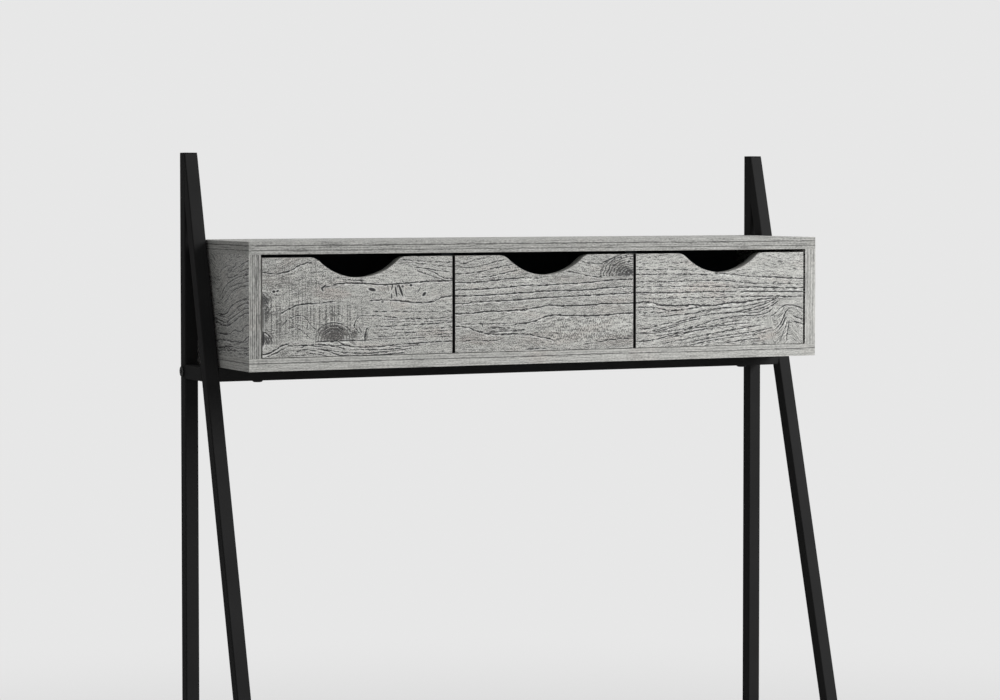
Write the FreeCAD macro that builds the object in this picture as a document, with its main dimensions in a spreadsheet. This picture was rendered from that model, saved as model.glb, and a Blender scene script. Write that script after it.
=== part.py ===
import FreeCAD, Part
import os
import Sketcher

# Ladder desk. +X to the user's right, +Y to the wall, +Z up, millimetres.
# The origin is on the floor, midway between the sides and between the front feet and the wall plane.

V = FreeCAD.Vector
doc = FreeCAD.newDocument("ladder_desk")

sizes = [
    # frame
    ("frame_width", 965),
    ("frame_depth", 468),
    ("frame_height", 1625),
    ("desk_height", 745),
    ("foot_rail_height", 70),
    ("tube", 20),
    ("tube_wall", 1.2),
    ("tube_corner", 1.8),
    ("foot_plate", 3),
    ("cap_plate", 2),
    ("plug_length", 15),
    ("plug_clearance", 0.1),
    # boards
    ("board", 18),
    ("side_gap", 3),
    ("desk_bar_clearance", 1.8),
    ("box_depth", 216),
    ("box_height", 180),
    ("post_above_box", 125),
    ("back_panel", 3),
    ("back_inset", 10),
    ("groove_depth", 6),
    ("groove_clearance", 0.2),
    # drawers
    ("front_board", 16),
    ("front_recess", 1.5),
    ("front_top_gap", 4.6),
    ("front_bottom_gap", 0.8),
    ("front_side_gap", 2.5),
    ("front_between_gap", 4.6),
    ("scoop_width", 149),
    ("scoop_depth", 29),
    ("scoop_shoulder", 22.5),
    ("drawer_board", 12),
    ("side_below_scoop", 2.4),
    ("drawer_rear_gap", 10.5),
    ("drawer_panel", 3),
    ("drawer_panel_lift", 10),
    ("drawer_groove", 5),
    # runners
    ("runner_gap", 12.5),
    ("runner_lift", 5),
    ("runner_head_gap", 2.3),
    ("runner_sheet", 1.2),
    ("roller_offset", 3.5),
    ("roller_radius", 8.5),
    ("roller_width", 5.5),
    ("roller_setback", 10),
    ("running_gap", 0.3),
    # fasteners
    ("bolt_head", 15),
    ("bolt_head_rise", 2.5),
    ("bolt_shank", 6),
    ("hex_key", 4),
    ("hex_depth", 3.5),
    ("hole_clearance", 0.2),
]

sheet = doc.addObject("Spreadsheet::Sheet", "Sizes")
for row, (name, value) in enumerate(sizes, 1):
    sheet.set(f"A{row}", name)
    sheet.set(f"B{row}", str(value))
    sheet.setAlias(f"B{row}", name)
doc.recompute()

sub_parts = {}
cuts = []


# Expressions that several pieces share

bore = "(Sizes.tube - 2 * Sizes.tube_wall)"
rear_plane = "(Sizes.frame_depth / 2)"
post_front = f"({rear_plane} - Sizes.tube)"
post_centre = f"({rear_plane} - Sizes.tube / 2)"
frame_x = "((Sizes.frame_width - Sizes.tube) / 2)"
bar_span = "(Sizes.frame_width - 2 * Sizes.tube)"

# The leg's front face runs from the front feet to the post's front face at the very top.
slope = "((Sizes.frame_depth - Sizes.tube) / Sizes.frame_height)"
stretch = f"sqrt(1 + {slope} ^ 2)"
lean_cos = f"(1 / {stretch})"
lean_sin = f"({slope} / {stretch})"

box_width = "(Sizes.frame_width - 2 * Sizes.tube - 2 * Sizes.side_gap)"
box_left = f"(-{box_width} / 2)"
box_front = f"({rear_plane} - Sizes.box_depth)"
box_floor = "(Sizes.frame_height - Sizes.post_above_box - Sizes.box_height)"
box_inner_floor = f"({box_floor} + Sizes.board)"
box_inner_height = "(Sizes.box_height - 2 * Sizes.board)"
box_inner_left = f"({box_left} + Sizes.board)"
box_inner_width = f"({box_width} - 2 * Sizes.board)"
bay_width = f"(({box_inner_width} - 2 * Sizes.board) / 3)"
back_front_face = f"({rear_plane} - Sizes.back_inset - Sizes.back_panel)"

box_bar_z = f"({box_floor} - Sizes.tube / 2)"
desk_bar_z = "(Sizes.desk_height - Sizes.board - Sizes.tube / 2)"
bolt_hole = "(Sizes.bolt_shank + 2 * Sizes.hole_clearance)"
bolt_length = "(Sizes.tube + Sizes.plug_length)"

# The desktop's front bar lies just behind the stem of the arm's cap.
desk_front_bar_y = (f"(Sizes.cap_plate + Sizes.plug_length + Sizes.desk_bar_clearance"
                    f" + {bolt_hole} / 2 - {rear_plane})")

front_width = (f"(({box_inner_width} - 2 * Sizes.front_side_gap"
               " - 2 * Sizes.front_between_gap) / 3)")
front_height = f"({box_inner_height} - Sizes.front_top_gap - Sizes.front_bottom_gap)"
front_back_face = f"({box_front} + Sizes.front_recess + Sizes.front_board)"

runner_floor = f"({box_inner_floor} + Sizes.runner_lift)"
runner_foot = "(2 * Sizes.runner_sheet)"
drawer_floor = f"({runner_floor} + {runner_foot} + Sizes.runner_sheet)"
drawer_width = f"({bay_width} - 2 * Sizes.runner_gap)"
drawer_length = f"({back_front_face} - Sizes.drawer_rear_gap - {front_back_face})"
drawer_side_height = (f"({box_inner_floor} + {box_inner_height} - Sizes.front_top_gap"
                      f" - Sizes.scoop_depth - Sizes.side_below_scoop - {drawer_floor})")


def leg_front(z):
    return f"({slope} * ({z}) - {rear_plane})"


def leg_centre(z):
    return f"({leg_front(z)} + Sizes.tube * {stretch} / 2)"


def leg_rear(z):
    return f"({leg_front(z)} + Sizes.tube * {stretch})"


def bay_left(bay):
    return f"({box_inner_left} + {bay} * ({bay_width} + Sizes.board))"


# Building blocks

def number(expression):
    result = sheet.evalExpression(expression)
    return getattr(result, "Value", result)


def bind(item, **expressions):
    for name, expression in expressions.items():
        item.setExpression(name, expression)


def place(item, x="0", y="0", z="0", axis=V(0, 0, 1), angle="0"):
    """Puts an item at x, y, z, turned by angle about axis."""
    item.Placement = FreeCAD.Placement(V(0, 0, 0), FreeCAD.Rotation(axis, number(angle)))
    item.setExpression("Placement.Base.x", x)
    item.setExpression("Placement.Base.y", y)
    item.setExpression("Placement.Base.z", z)
    if angle != "0":
        item.setExpression("Placement.Rotation.Angle", angle)


def keep(label, item):
    """Makes an item a sub-part that is written out under its label."""
    item.Label = label
    sub_parts[label] = item
    return item


def new_sketch(body, name, role):
    sketch = body.newObject("Sketcher::SketchObject", f"{body.Name}_{name}")
    plane = next(item for item in body.Origin.OriginFeatures if item.Role == role)
    sketch.AttachmentSupport = [(plane, "")]
    sketch.MapMode = "FlatFace"
    return sketch


def dimension(sketch, expression, kind, *ends):
    index = sketch.addConstraint(Sketcher.Constraint(kind, *ends, number(expression)))
    name = f"size{index}"
    sketch.renameConstraint(index, name)
    sketch.setExpression(f"Constraints.{name}", expression)


def pin(sketch, geometry, point, x, y):
    dimension(sketch, x, "DistanceX", -1, 1, geometry, point)
    dimension(sketch, y, "DistanceY", -1, 1, geometry, point)


def polygon(sketch, corners):
    """Closed outline whose corners are pairs of expressions."""
    first = sketch.GeometryCount
    count = len(corners)
    points = [V(number(x), number(y), 0) for x, y in corners]
    for index in range(count):
        sketch.addGeometry(Part.LineSegment(points[index], points[(index + 1) % count]), False)
    for index in range(count):
        following = first + (index + 1) % count
        sketch.addConstraint(Sketcher.Constraint("Coincident", first + index, 2, following, 1))
    for index, (x, y) in enumerate(corners):
        pin(sketch, first + index, 1, x, y)


def rectangle(sketch, left, low, right, high):
    polygon(sketch, [(left, low), (right, low), (right, high), (left, high)])


def square(sketch, side):
    rectangle(sketch, f"-{side} / 2", f"-{side} / 2", f"{side} / 2", f"{side} / 2")


def pad(body, sketch, length, name, side_type="One side"):
    feature = body.newObject("PartDesign::Pad", f"{body.Name}_{name}")
    feature.Profile = sketch
    feature.SideType = side_type
    feature.setExpression("Length", length)
    return feature


def pocket(body, sketch, name, length=None, reversed_cut=False):
    """Cuts the sketch's outline: to a length, or right through both ways."""
    feature = body.newObject("PartDesign::Pocket", f"{body.Name}_{name}")
    feature.Profile = sketch
    if length is None:
        feature.Type = "ThroughAll"
        feature.SideType = "Symmetric"
    else:
        feature.setExpression("Length", length)
        feature.Reversed = reversed_cut
    cuts.append(feature)
    return feature


def round_corners(body, base, radius):
    """Rounds the four outermost edges that run along the body's Z."""
    doc.recompute()
    reach = max(abs(vertex.X) for vertex in base.Shape.Vertexes) - 0.01
    names = []
    for index, edge in enumerate(base.Shape.Edges, 1):
        start, end = (vertex.Point for vertex in edge.Vertexes)
        upright = abs(start.x - end.x) + abs(start.y - end.y) < 0.01
        if upright and min(abs(start.x), abs(start.y)) > reach:
            names.append(f"Edge{index}")
    fillet = body.newObject("PartDesign::Fillet", f"{body.Name}_corners")
    fillet.Base = (base, names)
    fillet.setExpression("Radius", radius)
    return fillet


def tube(label, length):
    """Square tube along the body's own Z, its section centred on the axis."""
    body = doc.addObject("PartDesign::Body", label)
    section = new_sketch(body, "section", "XY_Plane")
    square(section, "Sizes.tube")
    square(section, bore)
    walls = pad(body, section, length, "walls")
    round_corners(body, walls, "Sizes.tube_corner")
    return keep(label, body)


def trim(body, name, corners):
    """Cuts the outline, drawn in the body's YZ plane, right through the tube."""
    outline = new_sketch(body, f"{name}_outline", "YZ_Plane")
    polygon(outline, corners)
    pocket(body, outline, name)


def drill(body, name, diameter, centres):
    """Drills through both walls of a tube at points of the body's YZ plane."""
    marks = new_sketch(body, f"{name}_marks", "YZ_Plane")
    for y, z in centres:
        circle = Part.Circle(V(number(y), number(z), 0), V(0, 0, 1), number(diameter) / 2)
        index = marks.addGeometry(circle, False)
        pin(marks, index, 3, y, z)
        dimension(marks, diameter, "Diameter", index)
    pocket(body, marks, name)


def template(name):
    return doc.addObject("PartDesign::Body", name)


def copy_of(item, x, y, z, axis=V(0, 0, 1), angle="0"):
    link = doc.addObject("App::Link", f"{item.Name}_copy")
    link.LinkedObject = item
    place(link, x, y, z, axis, angle)
    return link


def group(label, items):
    """One sub-part that holds several alike solids."""
    compound = doc.addObject("Part::Compound", label)
    compound.Links = items
    return keep(label, compound)


def box(name, corner, lengths):
    item = doc.addObject("Part::Box", name)
    bind(item, Length=lengths[0], Width=lengths[1], Height=lengths[2])
    place(item, *corner)
    return item


def rod(name, radius, length, start, axis=V(0, 0, 1), angle="0"):
    item = doc.addObject("Part::Cylinder", name)
    bind(item, Radius=radius, Height=length)
    place(item, *start, axis, angle)
    return item


def board(label, corner, lengths, tools=()):
    """A board from its low corner, less the grooves and holes in tools."""
    if not tools:
        return keep(label, box(label, corner, lengths))
    cut = doc.addObject("Part::Cut", label)
    cut.Base = box(f"{label}_blank", corner, lengths)
    cut.Tool = doc.addObject("Part::Compound", f"{label}_tools")
    cut.Tool.Links = list(tools)
    cuts.append(cut)
    return keep(label, cut)


# Side frames

def rear_post(side, sign):
    """Upright tube between its foot and its cap, drilled for the bolts of two bars."""
    length = "(Sizes.frame_height - Sizes.foot_plate - Sizes.cap_plate)"
    body = tube(f"{side}_rear_post", length)
    centres = [("0", f"{height} - Sizes.foot_plate") for height in (box_bar_z, desk_bar_z)]
    drill(body, "bolt_holes", bolt_hole, centres)
    place(body, f"{sign} * {frame_x}", post_centre, "Sizes.foot_plate")


def front_leg(side, sign):
    """Leaning tube, cut level at the foot and long against the post's front face."""
    axis_y = f"(Sizes.tube / 2 * {lean_cos} - {rear_plane})"
    axis_z = f"(-Sizes.tube / 2 * {lean_sin})"
    over = "Sizes.tube"

    def along(depth, height):
        """Distance along the leg to where a level plane crosses it, at a depth across it."""
        return f"(({height} - {axis_z}) * {stretch} + {depth} * {slope})"

    def post_line(depth):
        """Distance along the leg to the post's front face, at a depth across it."""
        return f"(({post_front} - {axis_y} - {depth} * {lean_cos}) / {lean_sin})"

    near = f"(-Sizes.tube / 2 - {over})"
    far = f"(Sizes.tube / 2 + {over})"
    top = "(Sizes.frame_height - Sizes.cap_plate)"
    corner_y = f"(({post_front} - {axis_y}) * {lean_cos} - ({top} - {axis_z}) * {lean_sin})"
    length = f"(Sizes.frame_height * {stretch} + Sizes.tube)"
    body = tube(f"{side}_front_leg", length)
    trim(body, "foot", [
        (near, along(near, "Sizes.foot_plate")),
        (far, along(far, "Sizes.foot_plate")),
        (far, f"-{over}"),
        (near, f"-{over}"),
    ])
    trim(body, "top", [
        (near, along(near, top)),
        (corner_y, along(corner_y, top)),
        (far, post_line(far)),
        (far, f"{length} + {over}"),
        (near, f"{length} + {over}"),
    ])
    place(body, f"{sign} * {frame_x}", axis_y, axis_z, V(1, 0, 0), f"-atan({slope})")


def side_rail(label, sign, height):
    """Level tube from the leg's rear face, cut to its lean, to the post's front face."""
    start = leg_rear(f"{height} - Sizes.tube / 2")
    body = tube(label, f"({post_front} - {start})")
    over = "Sizes.tube"
    low = f"(Sizes.tube / 2 + {over})"
    high = f"(-Sizes.tube / 2 - {over})"
    trim(body, "leg_end", [
        (low, f"-{slope} * {over}"),
        (high, f"{slope} * (Sizes.tube + {over})"),
        (high, f"-{slope} * {over} - {over}"),
        (low, f"-{slope} * {over} - {over}"),
    ])
    place(body, f"{sign} * {frame_x}", start, height, V(1, 0, 0), "-90")


def desk_arm(side, sign):
    """Level tube from the leg's front face to the desktop's front edge."""
    start = f"(Sizes.cap_plate - {rear_plane})"
    length = f"({leg_front(f'{desk_bar_z} + Sizes.tube / 2')} - {start})"
    body = tube(f"{side}_desk_arm", length)
    over = "Sizes.tube"
    low = f"(Sizes.tube / 2 + {over})"
    high = f"(-Sizes.tube / 2 - {over})"
    trim(body, "leg_end", [
        (high, f"{length} + {slope} * {over}"),
        (low, f"{length} - {slope} * (Sizes.tube + {over})"),
        (low, f"{length} + {over}"),
        (high, f"{length} + {over}"),
    ])
    drill(body, "bolt_hole", bolt_hole, [("0", f"{desk_front_bar_y} - {start}")])
    place(body, f"{sign} * {frame_x}", start, desk_bar_z, V(1, 0, 0), "-90")


for side, sign in (("left", "-1"), ("right", "1")):
    rear_post(side, sign)
    front_leg(side, sign)
    side_rail(f"{side}_box_rail", sign, box_bar_z)
    side_rail(f"{side}_desk_rail", sign, desk_bar_z)
    side_rail(f"{side}_foot_rail", sign, "Sizes.foot_rail_height")
    desk_arm(side, sign)


# Cross bars between the frames

bars = {
    "box_front_bar": (leg_centre(box_bar_z), box_bar_z),
    "box_rear_bar": (post_centre, box_bar_z),
    "desk_front_bar": (desk_front_bar_y, desk_bar_z),
    "desk_rear_bar": (post_centre, desk_bar_z),
}

for label, (bar_y, bar_z) in bars.items():
    bar = tube(label, bar_span)
    place(bar, f"-{bar_span} / 2", bar_y, bar_z, V(0, 1, 0), "90")


# Bolts through the frames into inserts in the bar ends. The box's front bar has none: it is welded
# between the legs.

def make_bolt():
    """Flat round head with a hexagon socket; the shank points up its own Z from under the head."""
    body = template("bolt")
    profile = new_sketch(body, "profile", "XZ_Plane")
    polygon(profile, [
        ("0", "-Sizes.bolt_head_rise"),
        ("Sizes.bolt_head / 2", "-Sizes.bolt_head_rise"),
        ("Sizes.bolt_head / 2", "0"),
        ("Sizes.bolt_shank / 2", "0"),
        ("Sizes.bolt_shank / 2", bolt_length),
        ("0", bolt_length),
    ])
    turned = body.newObject("PartDesign::Revolution", "bolt_turned")
    turned.Profile = profile
    turned.ReferenceAxis = (profile, ["V_Axis"])
    turned.Angle = 360
    socket = new_sketch(body, "socket", "XY_Plane")
    corner = "(Sizes.hex_key / sqrt(3))"
    polygon(socket, [
        (corner, "0"),
        (f"{corner} / 2", "Sizes.hex_key / 2"),
        (f"-{corner} / 2", "Sizes.hex_key / 2"),
        (f"-{corner}", "0"),
        (f"-{corner} / 2", "-Sizes.hex_key / 2"),
        (f"{corner} / 2", "-Sizes.hex_key / 2"),
    ])
    pocket(body, socket, "recess", "Sizes.hex_depth")
    return body


def make_insert():
    """Square plug that fills a bar's end, drilled for the bolt along its own Z."""
    body = template("insert")
    section = new_sketch(body, "section", "XY_Plane")
    square(section, f"({bore} - 2 * Sizes.plug_clearance)")
    circle = Part.Circle(V(0, 0, 0), V(0, 0, 1), number("Sizes.bolt_shank") / 2)
    index = section.addGeometry(circle, False)
    section.addConstraint(Sketcher.Constraint("Coincident", index, 3, -1, 1))
    dimension(section, "Sizes.bolt_shank + 2 * Sizes.plug_clearance", "Diameter", index)
    pad(body, section, "Sizes.plug_length", "block")
    return body


bolt = make_bolt()
insert = make_insert()
bolts = []
inserts = []
for bar_y, bar_z in [bars[label] for label in bars if label != "box_front_bar"]:
    for sign, turn in (("-1", "90"), ("1", "-90")):
        bolts.append(copy_of(bolt, f"{sign} * Sizes.frame_width / 2", bar_y, bar_z, V(0, 1, 0), turn))
        inserts.append(copy_of(insert, f"{sign} * {bar_span} / 2", bar_y, bar_z, V(0, 1, 0), turn))
group("frame_bolts", bolts)
group("bar_inserts", inserts)


# Caps and feet pushed into the open tube ends

# A square plate this much narrower than the tube stays inside the tube's rounded corners.
corner_inset = "(2 - sqrt(2)) * Sizes.tube_corner"


def make_plug(name, plate):
    """Plate below the body's XY plane and stem above it, to fit a straight tube end."""
    body = template(name)
    outline = new_sketch(body, "plate", "XY_Plane")
    square(outline, f"(Sizes.tube - {corner_inset})")
    disc = pad(body, outline, plate, "plate_pad")
    disc.Reversed = True
    stem = new_sketch(body, "stem", "XY_Plane")
    square(stem, f"({bore} - 2 * Sizes.plug_clearance)")
    pad(body, stem, "Sizes.plug_length", "stem_pad")
    return body


def make_leg_foot():
    """Foot plate cut to the leg's lean, with a stem that leans with it."""
    body = template("leg_foot")
    rise = "(Sizes.foot_plate + Sizes.plug_length)"
    inset = f"((Sizes.tube_wall + Sizes.plug_clearance) * {stretch})"
    plate = new_sketch(body, "plate", "YZ_Plane")
    polygon(plate, [
        (leg_front("0"), "0"),
        (leg_rear("0"), "0"),
        (leg_rear("Sizes.foot_plate"), "Sizes.foot_plate"),
        (leg_front("Sizes.foot_plate"), "Sizes.foot_plate"),
    ])
    pad(body, plate, "Sizes.tube", "plate_pad", "Symmetric")
    stem = new_sketch(body, "stem", "YZ_Plane")
    polygon(stem, [
        (f"{leg_front('Sizes.foot_plate')} + {inset}", "Sizes.foot_plate"),
        (f"{leg_rear('Sizes.foot_plate')} - {inset}", "Sizes.foot_plate"),
        (f"{leg_rear(rise)} - {inset}", rise),
        (f"{leg_front(rise)} + {inset}", rise),
    ])
    pad(body, stem, f"{bore} - 2 * Sizes.plug_clearance", "stem_pad", "Symmetric")
    return body


cap = make_plug("cap", "Sizes.cap_plate")
foot = make_plug("foot", "Sizes.foot_plate")
leg_foot = make_leg_foot()
post_top = "(Sizes.frame_height - Sizes.cap_plate)"
arm_end = f"(Sizes.cap_plate - {rear_plane})"
sides = [f"-{frame_x}", frame_x]
group("post_caps", [copy_of(cap, x, post_centre, post_top, V(1, 0, 0), "180") for x in sides])
group("arm_caps", [copy_of(cap, x, arm_end, desk_bar_z, V(1, 0, 0), "-90") for x in sides])
group("post_feet", [copy_of(foot, x, post_centre, "Sizes.foot_plate") for x in sides])
group("leg_feet", [copy_of(leg_foot, x, "0", "0") for x in sides])


# Desktop

board("desktop", (box_left, f"-{rear_plane}", "Sizes.desk_height - Sizes.board"),
      (box_width, "Sizes.frame_depth", "Sizes.board"))


# Drawer box: four uprights between a top and a bottom board, with a thin back in grooves

inner_ceiling = f"({box_inner_floor} + {box_inner_height})"
back_groove = box("back_groove",
                  (f"{box_inner_left} - Sizes.groove_depth",
                   f"{back_front_face} - Sizes.groove_clearance",
                   f"{box_inner_floor} - Sizes.groove_depth"),
                  (f"{box_inner_width} + 2 * Sizes.groove_depth",
                   "Sizes.back_panel + 2 * Sizes.groove_clearance",
                   f"{box_inner_height} + 2 * Sizes.groove_depth"))
for label, low in (("box_top", inner_ceiling), ("box_bottom", box_floor)):
    board(label, (box_left, box_front, low), (box_width, "Sizes.box_depth", "Sizes.board"),
          [back_groove])
for label, left in (("box_left_side", box_left), ("box_right_side", f"-{box_left} - Sizes.board")):
    board(label, (left, box_front, box_inner_floor),
          ("Sizes.board", "Sizes.box_depth", box_inner_height), [back_groove])
for label, bay in (("left_divider", 1), ("right_divider", 2)):
    start = f"({front_back_face} + Sizes.running_gap)"
    board(label, (f"{bay_left(bay)} - Sizes.board", start, box_inner_floor),
          ("Sizes.board", f"{back_front_face} - {start}", box_inner_height))
slack = "(Sizes.groove_depth - Sizes.groove_clearance)"
board("box_back",
      (f"{box_inner_left} - {slack}", back_front_face, f"{box_inner_floor} - {slack}"),
      (f"{box_inner_width} + 2 * {slack}", "Sizes.back_panel", f"{box_inner_height} + 2 * {slack}"))


# Runners: folded steel, centred on their own length, with wheels riveted to their webs

# Heights above the cabinet runner's underside
rear_wheel_z = "(Sizes.runner_sheet + Sizes.running_gap + Sizes.roller_radius)"
front_wheel_z = f"({rear_wheel_z} + Sizes.roller_offset)"
flange_low = f"({front_wheel_z} + Sizes.roller_radius + Sizes.running_gap)"
flange_top = f"({flange_low} + Sizes.runner_sheet)"
runner_height = f"({flange_top} + Sizes.runner_head_gap + Sizes.runner_sheet)"

# Distances from the upright's face
front_wheel_x = "(Sizes.runner_sheet + Sizes.running_gap)"
drawer_web_x = "(Sizes.runner_gap - Sizes.runner_sheet)"
rear_wheel_x = f"({drawer_web_x} - Sizes.running_gap - Sizes.roller_width)"

runner_front = f"({front_back_face} + 2 * Sizes.running_gap)"
runner_y = f"({runner_front} + {drawer_length} / 2)"
front_wheel_y = f"({runner_front} + Sizes.roller_setback)"
rear_wheel_y = f"({runner_front} + {drawer_length} - Sizes.roller_setback)"


def make_cabinet_runner():
    """Channel on the upright's face at x = 0: web, ledge for the rear wheel, short top flange."""
    body = template("cabinet_runner")
    profile = new_sketch(body, "profile", "XZ_Plane")
    sheet_metal = "Sizes.runner_sheet"
    ledge = f"{drawer_web_x} - Sizes.running_gap"
    polygon(profile, [
        ("0", "0"),
        (ledge, "0"),
        (ledge, sheet_metal),
        (sheet_metal, sheet_metal),
        (sheet_metal, f"{runner_height} - {sheet_metal}"),
        ("Sizes.roller_width", f"{runner_height} - {sheet_metal}"),
        ("Sizes.roller_width", runner_height),
        ("0", runner_height),
    ])
    pad(body, profile, drawer_length, "folded", "Symmetric")
    return body


def make_drawer_runner():
    """Z section against the drawer's side: top flange over the front wheel, web, foot."""
    body = template("drawer_runner")
    profile = new_sketch(body, "profile", "XZ_Plane")
    foot_top = f"({runner_foot} + Sizes.runner_sheet)"
    polygon(profile, [
        (front_wheel_x, flange_low),
        (drawer_web_x, flange_low),
        (drawer_web_x, runner_foot),
        ("Sizes.runner_gap + Sizes.drawer_board", runner_foot),
        ("Sizes.runner_gap + Sizes.drawer_board", foot_top),
        ("Sizes.runner_gap", foot_top),
        ("Sizes.runner_gap", flange_top),
        (front_wheel_x, flange_top),
    ])
    pad(body, profile, drawer_length, "folded", "Symmetric")
    return body


def runner_pair(item, bay):
    """Left and right runner of a drawer bay, the right one turned about."""
    left = bay_left(bay)
    right = f"{left} + {bay_width}"
    return [copy_of(item, left, runner_y, runner_floor),
            copy_of(item, right, runner_y, runner_floor, V(0, 0, 1), "180")]


def wheel_pair(name, bay, inset, y, height):
    """Left and right wheel of a drawer bay, each as far in from its upright's face."""
    left = f"{bay_left(bay)} + {inset}"
    right = f"{bay_left(bay)} + {bay_width} - {inset} - Sizes.roller_width"
    return [rod(name, "Sizes.roller_radius", "Sizes.roller_width",
                (x, y, f"{runner_floor} + {height}"), V(0, 1, 0), "90") for x in (left, right)]


cabinet_runner = make_cabinet_runner()
drawer_runner = make_drawer_runner()
cabinet_runners = []
cabinet_rollers = []
for bay in range(3):
    cabinet_runners += runner_pair(cabinet_runner, bay)
    cabinet_rollers += wheel_pair("front_wheel", bay, front_wheel_x, front_wheel_y, front_wheel_z)
group("cabinet_runners", cabinet_runners)
group("cabinet_rollers", cabinet_rollers)


# Drawers

def drawer_front(label, bay):
    """Front board about its own bottom centre, its back face in the body's XZ plane."""
    body = doc.addObject("PartDesign::Body", label)
    outline = new_sketch(body, "outline", "XZ_Plane")
    scoop_outline(outline)
    pad(body, outline, "Sizes.front_board", "board")
    groove = new_sketch(body, "groove", "XZ_Plane")
    centre_x = (f"({box_inner_left} + Sizes.front_side_gap + {front_width} / 2"
                f" + {bay} * ({front_width} + Sizes.front_between_gap))")
    centre_z = f"({box_inner_floor} + Sizes.front_bottom_gap)"
    low = f"({panel_floor} - Sizes.groove_clearance - {centre_z})"
    left = (f"({bay_left(bay)} + Sizes.runner_gap + Sizes.drawer_board"
            f" - Sizes.drawer_groove - {centre_x})")
    right = f"({left} + {drawer_width} - 2 * Sizes.drawer_board + 2 * Sizes.drawer_groove)"
    rectangle(groove, left, low, right, f"{low} + Sizes.drawer_panel + 2 * Sizes.groove_clearance")
    pocket(body, groove, "panel_groove", "Sizes.drawer_groove", True)
    place(body, centre_x, front_back_face, centre_z)
    keep(label, body)


def scoop_outline(sketch):
    """Rectangle whose top edge dips in an ogee: two shoulder arcs tangent to one bottom arc."""
    half = f"{front_width} / 2"
    dip = "Sizes.scoop_width / 2"
    shoulder = "Sizes.scoop_shoulder"
    bowl = f"((({dip}) ^ 2 + Sizes.scoop_depth ^ 2) / (2 * Sizes.scoop_depth) - {shoulder})"
    wide = number(half)
    high = number(front_height)
    start = number(dip)
    shoulder_radius = number(shoulder)
    bowl_radius = number(bowl)
    bowl_centre = V(0, high - number("Sizes.scoop_depth") + bowl_radius, 0)
    right_centre = V(start, high - shoulder_radius, 0)
    left_centre = V(-start, high - shoulder_radius, 0)
    share = bowl_radius / (bowl_radius + shoulder_radius)
    right_joint = bowl_centre + (right_centre - bowl_centre) * share
    left_joint = bowl_centre + (left_centre - bowl_centre) * share
    lowest = bowl_centre - V(0, bowl_radius, 0)
    up = V(0, 1, 0)
    right_lean = (right_joint - right_centre).normalize()
    left_lean = (left_joint - left_centre).normalize()
    right_mid = right_centre + (right_lean + up).normalize() * shoulder_radius
    left_mid = left_centre + (left_lean + up).normalize() * shoulder_radius
    right_start = V(start, high, 0)
    left_start = V(-start, high, 0)
    outline = [
        Part.LineSegment(V(-wide, 0, 0), V(wide, 0, 0)),
        Part.LineSegment(V(wide, 0, 0), V(wide, high, 0)),
        Part.LineSegment(V(wide, high, 0), right_start),
        Part.Arc(right_start, right_mid, right_joint),
        Part.Arc(right_joint, lowest, left_joint),
        Part.Arc(left_joint, left_mid, left_start),
        Part.LineSegment(left_start, V(-wide, high, 0)),
        Part.LineSegment(V(-wide, high, 0), V(-wide, 0, 0)),
    ]
    for piece in outline:
        sketch.addGeometry(piece, False)

    def end_near(index, point):
        """Which end of a piece lies at the point: arcs are stored counter-clockwise."""
        return min((1, 2), key=lambda end: (sketch.getPoint(index, end) - point).Length)

    corners = [(0, 1, V(wide, 0, 0)), (1, 2, V(wide, high, 0)),
               (6, 7, V(-wide, high, 0)), (7, 0, V(-wide, 0, 0))]
    for one, other, point in corners:
        sketch.addConstraint(Sketcher.Constraint("Coincident", one, end_near(one, point),
                                                 other, end_near(other, point)))
    smooth = [(2, 3, right_start), (3, 4, right_joint), (4, 5, left_joint), (5, 6, left_start)]
    for one, other, point in smooth:
        sketch.addConstraint(Sketcher.Constraint("Tangent", one, end_near(one, point),
                                                 other, end_near(other, point)))
    pin(sketch, 0, 1, f"-{half}", "0")
    pin(sketch, 0, 2, half, "0")
    pin(sketch, 1, 2, half, front_height)
    pin(sketch, 7, 1, f"-{half}", front_height)
    pin(sketch, 2, 2, dip, front_height)
    pin(sketch, 6, 1, f"-{dip}", front_height)
    dimension(sketch, shoulder, "Radius", 3)
    dimension(sketch, shoulder, "Radius", 5)
    dimension(sketch, bowl, "Radius", 4)


def drawer_box(name, bay):
    """Two sides, a back and a thin bottom held in grooves on all four sides."""
    left = f"({bay_left(bay)} + Sizes.runner_gap)"
    right = f"({left} + {drawer_width} - Sizes.drawer_board)"
    inner_left = f"({left} + Sizes.drawer_board)"
    inner_width = f"({drawer_width} - 2 * Sizes.drawer_board)"
    back_y = f"({front_back_face} + {drawer_length} - Sizes.drawer_board)"
    side_lengths = ("Sizes.drawer_board", drawer_length, drawer_side_height)
    slack = "(Sizes.drawer_groove - Sizes.groove_clearance)"
    groove = box(f"{name}_groove",
                 (f"{inner_left} - Sizes.drawer_groove", f"{front_back_face} - Sizes.drawer_groove",
                  f"{panel_floor} - Sizes.groove_clearance"),
                 (f"{inner_width} + 2 * Sizes.drawer_groove",
                  f"{back_y} - {front_back_face} + 2 * Sizes.drawer_groove",
                  "Sizes.drawer_panel + 2 * Sizes.groove_clearance"))
    board(f"{name}_left_side", (left, front_back_face, drawer_floor), side_lengths, [groove])
    board(f"{name}_right_side", (right, front_back_face, drawer_floor), side_lengths, [groove])
    board(f"{name}_back", (inner_left, back_y, drawer_floor),
          (inner_width, "Sizes.drawer_board", drawer_side_height), [groove])
    board(f"{name}_bottom",
          (f"{inner_left} - {slack}", f"{front_back_face} - {slack}", panel_floor),
          (f"{inner_width} + 2 * {slack}", f"{back_y} - {front_back_face} + 2 * {slack}",
           "Sizes.drawer_panel"))


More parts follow.
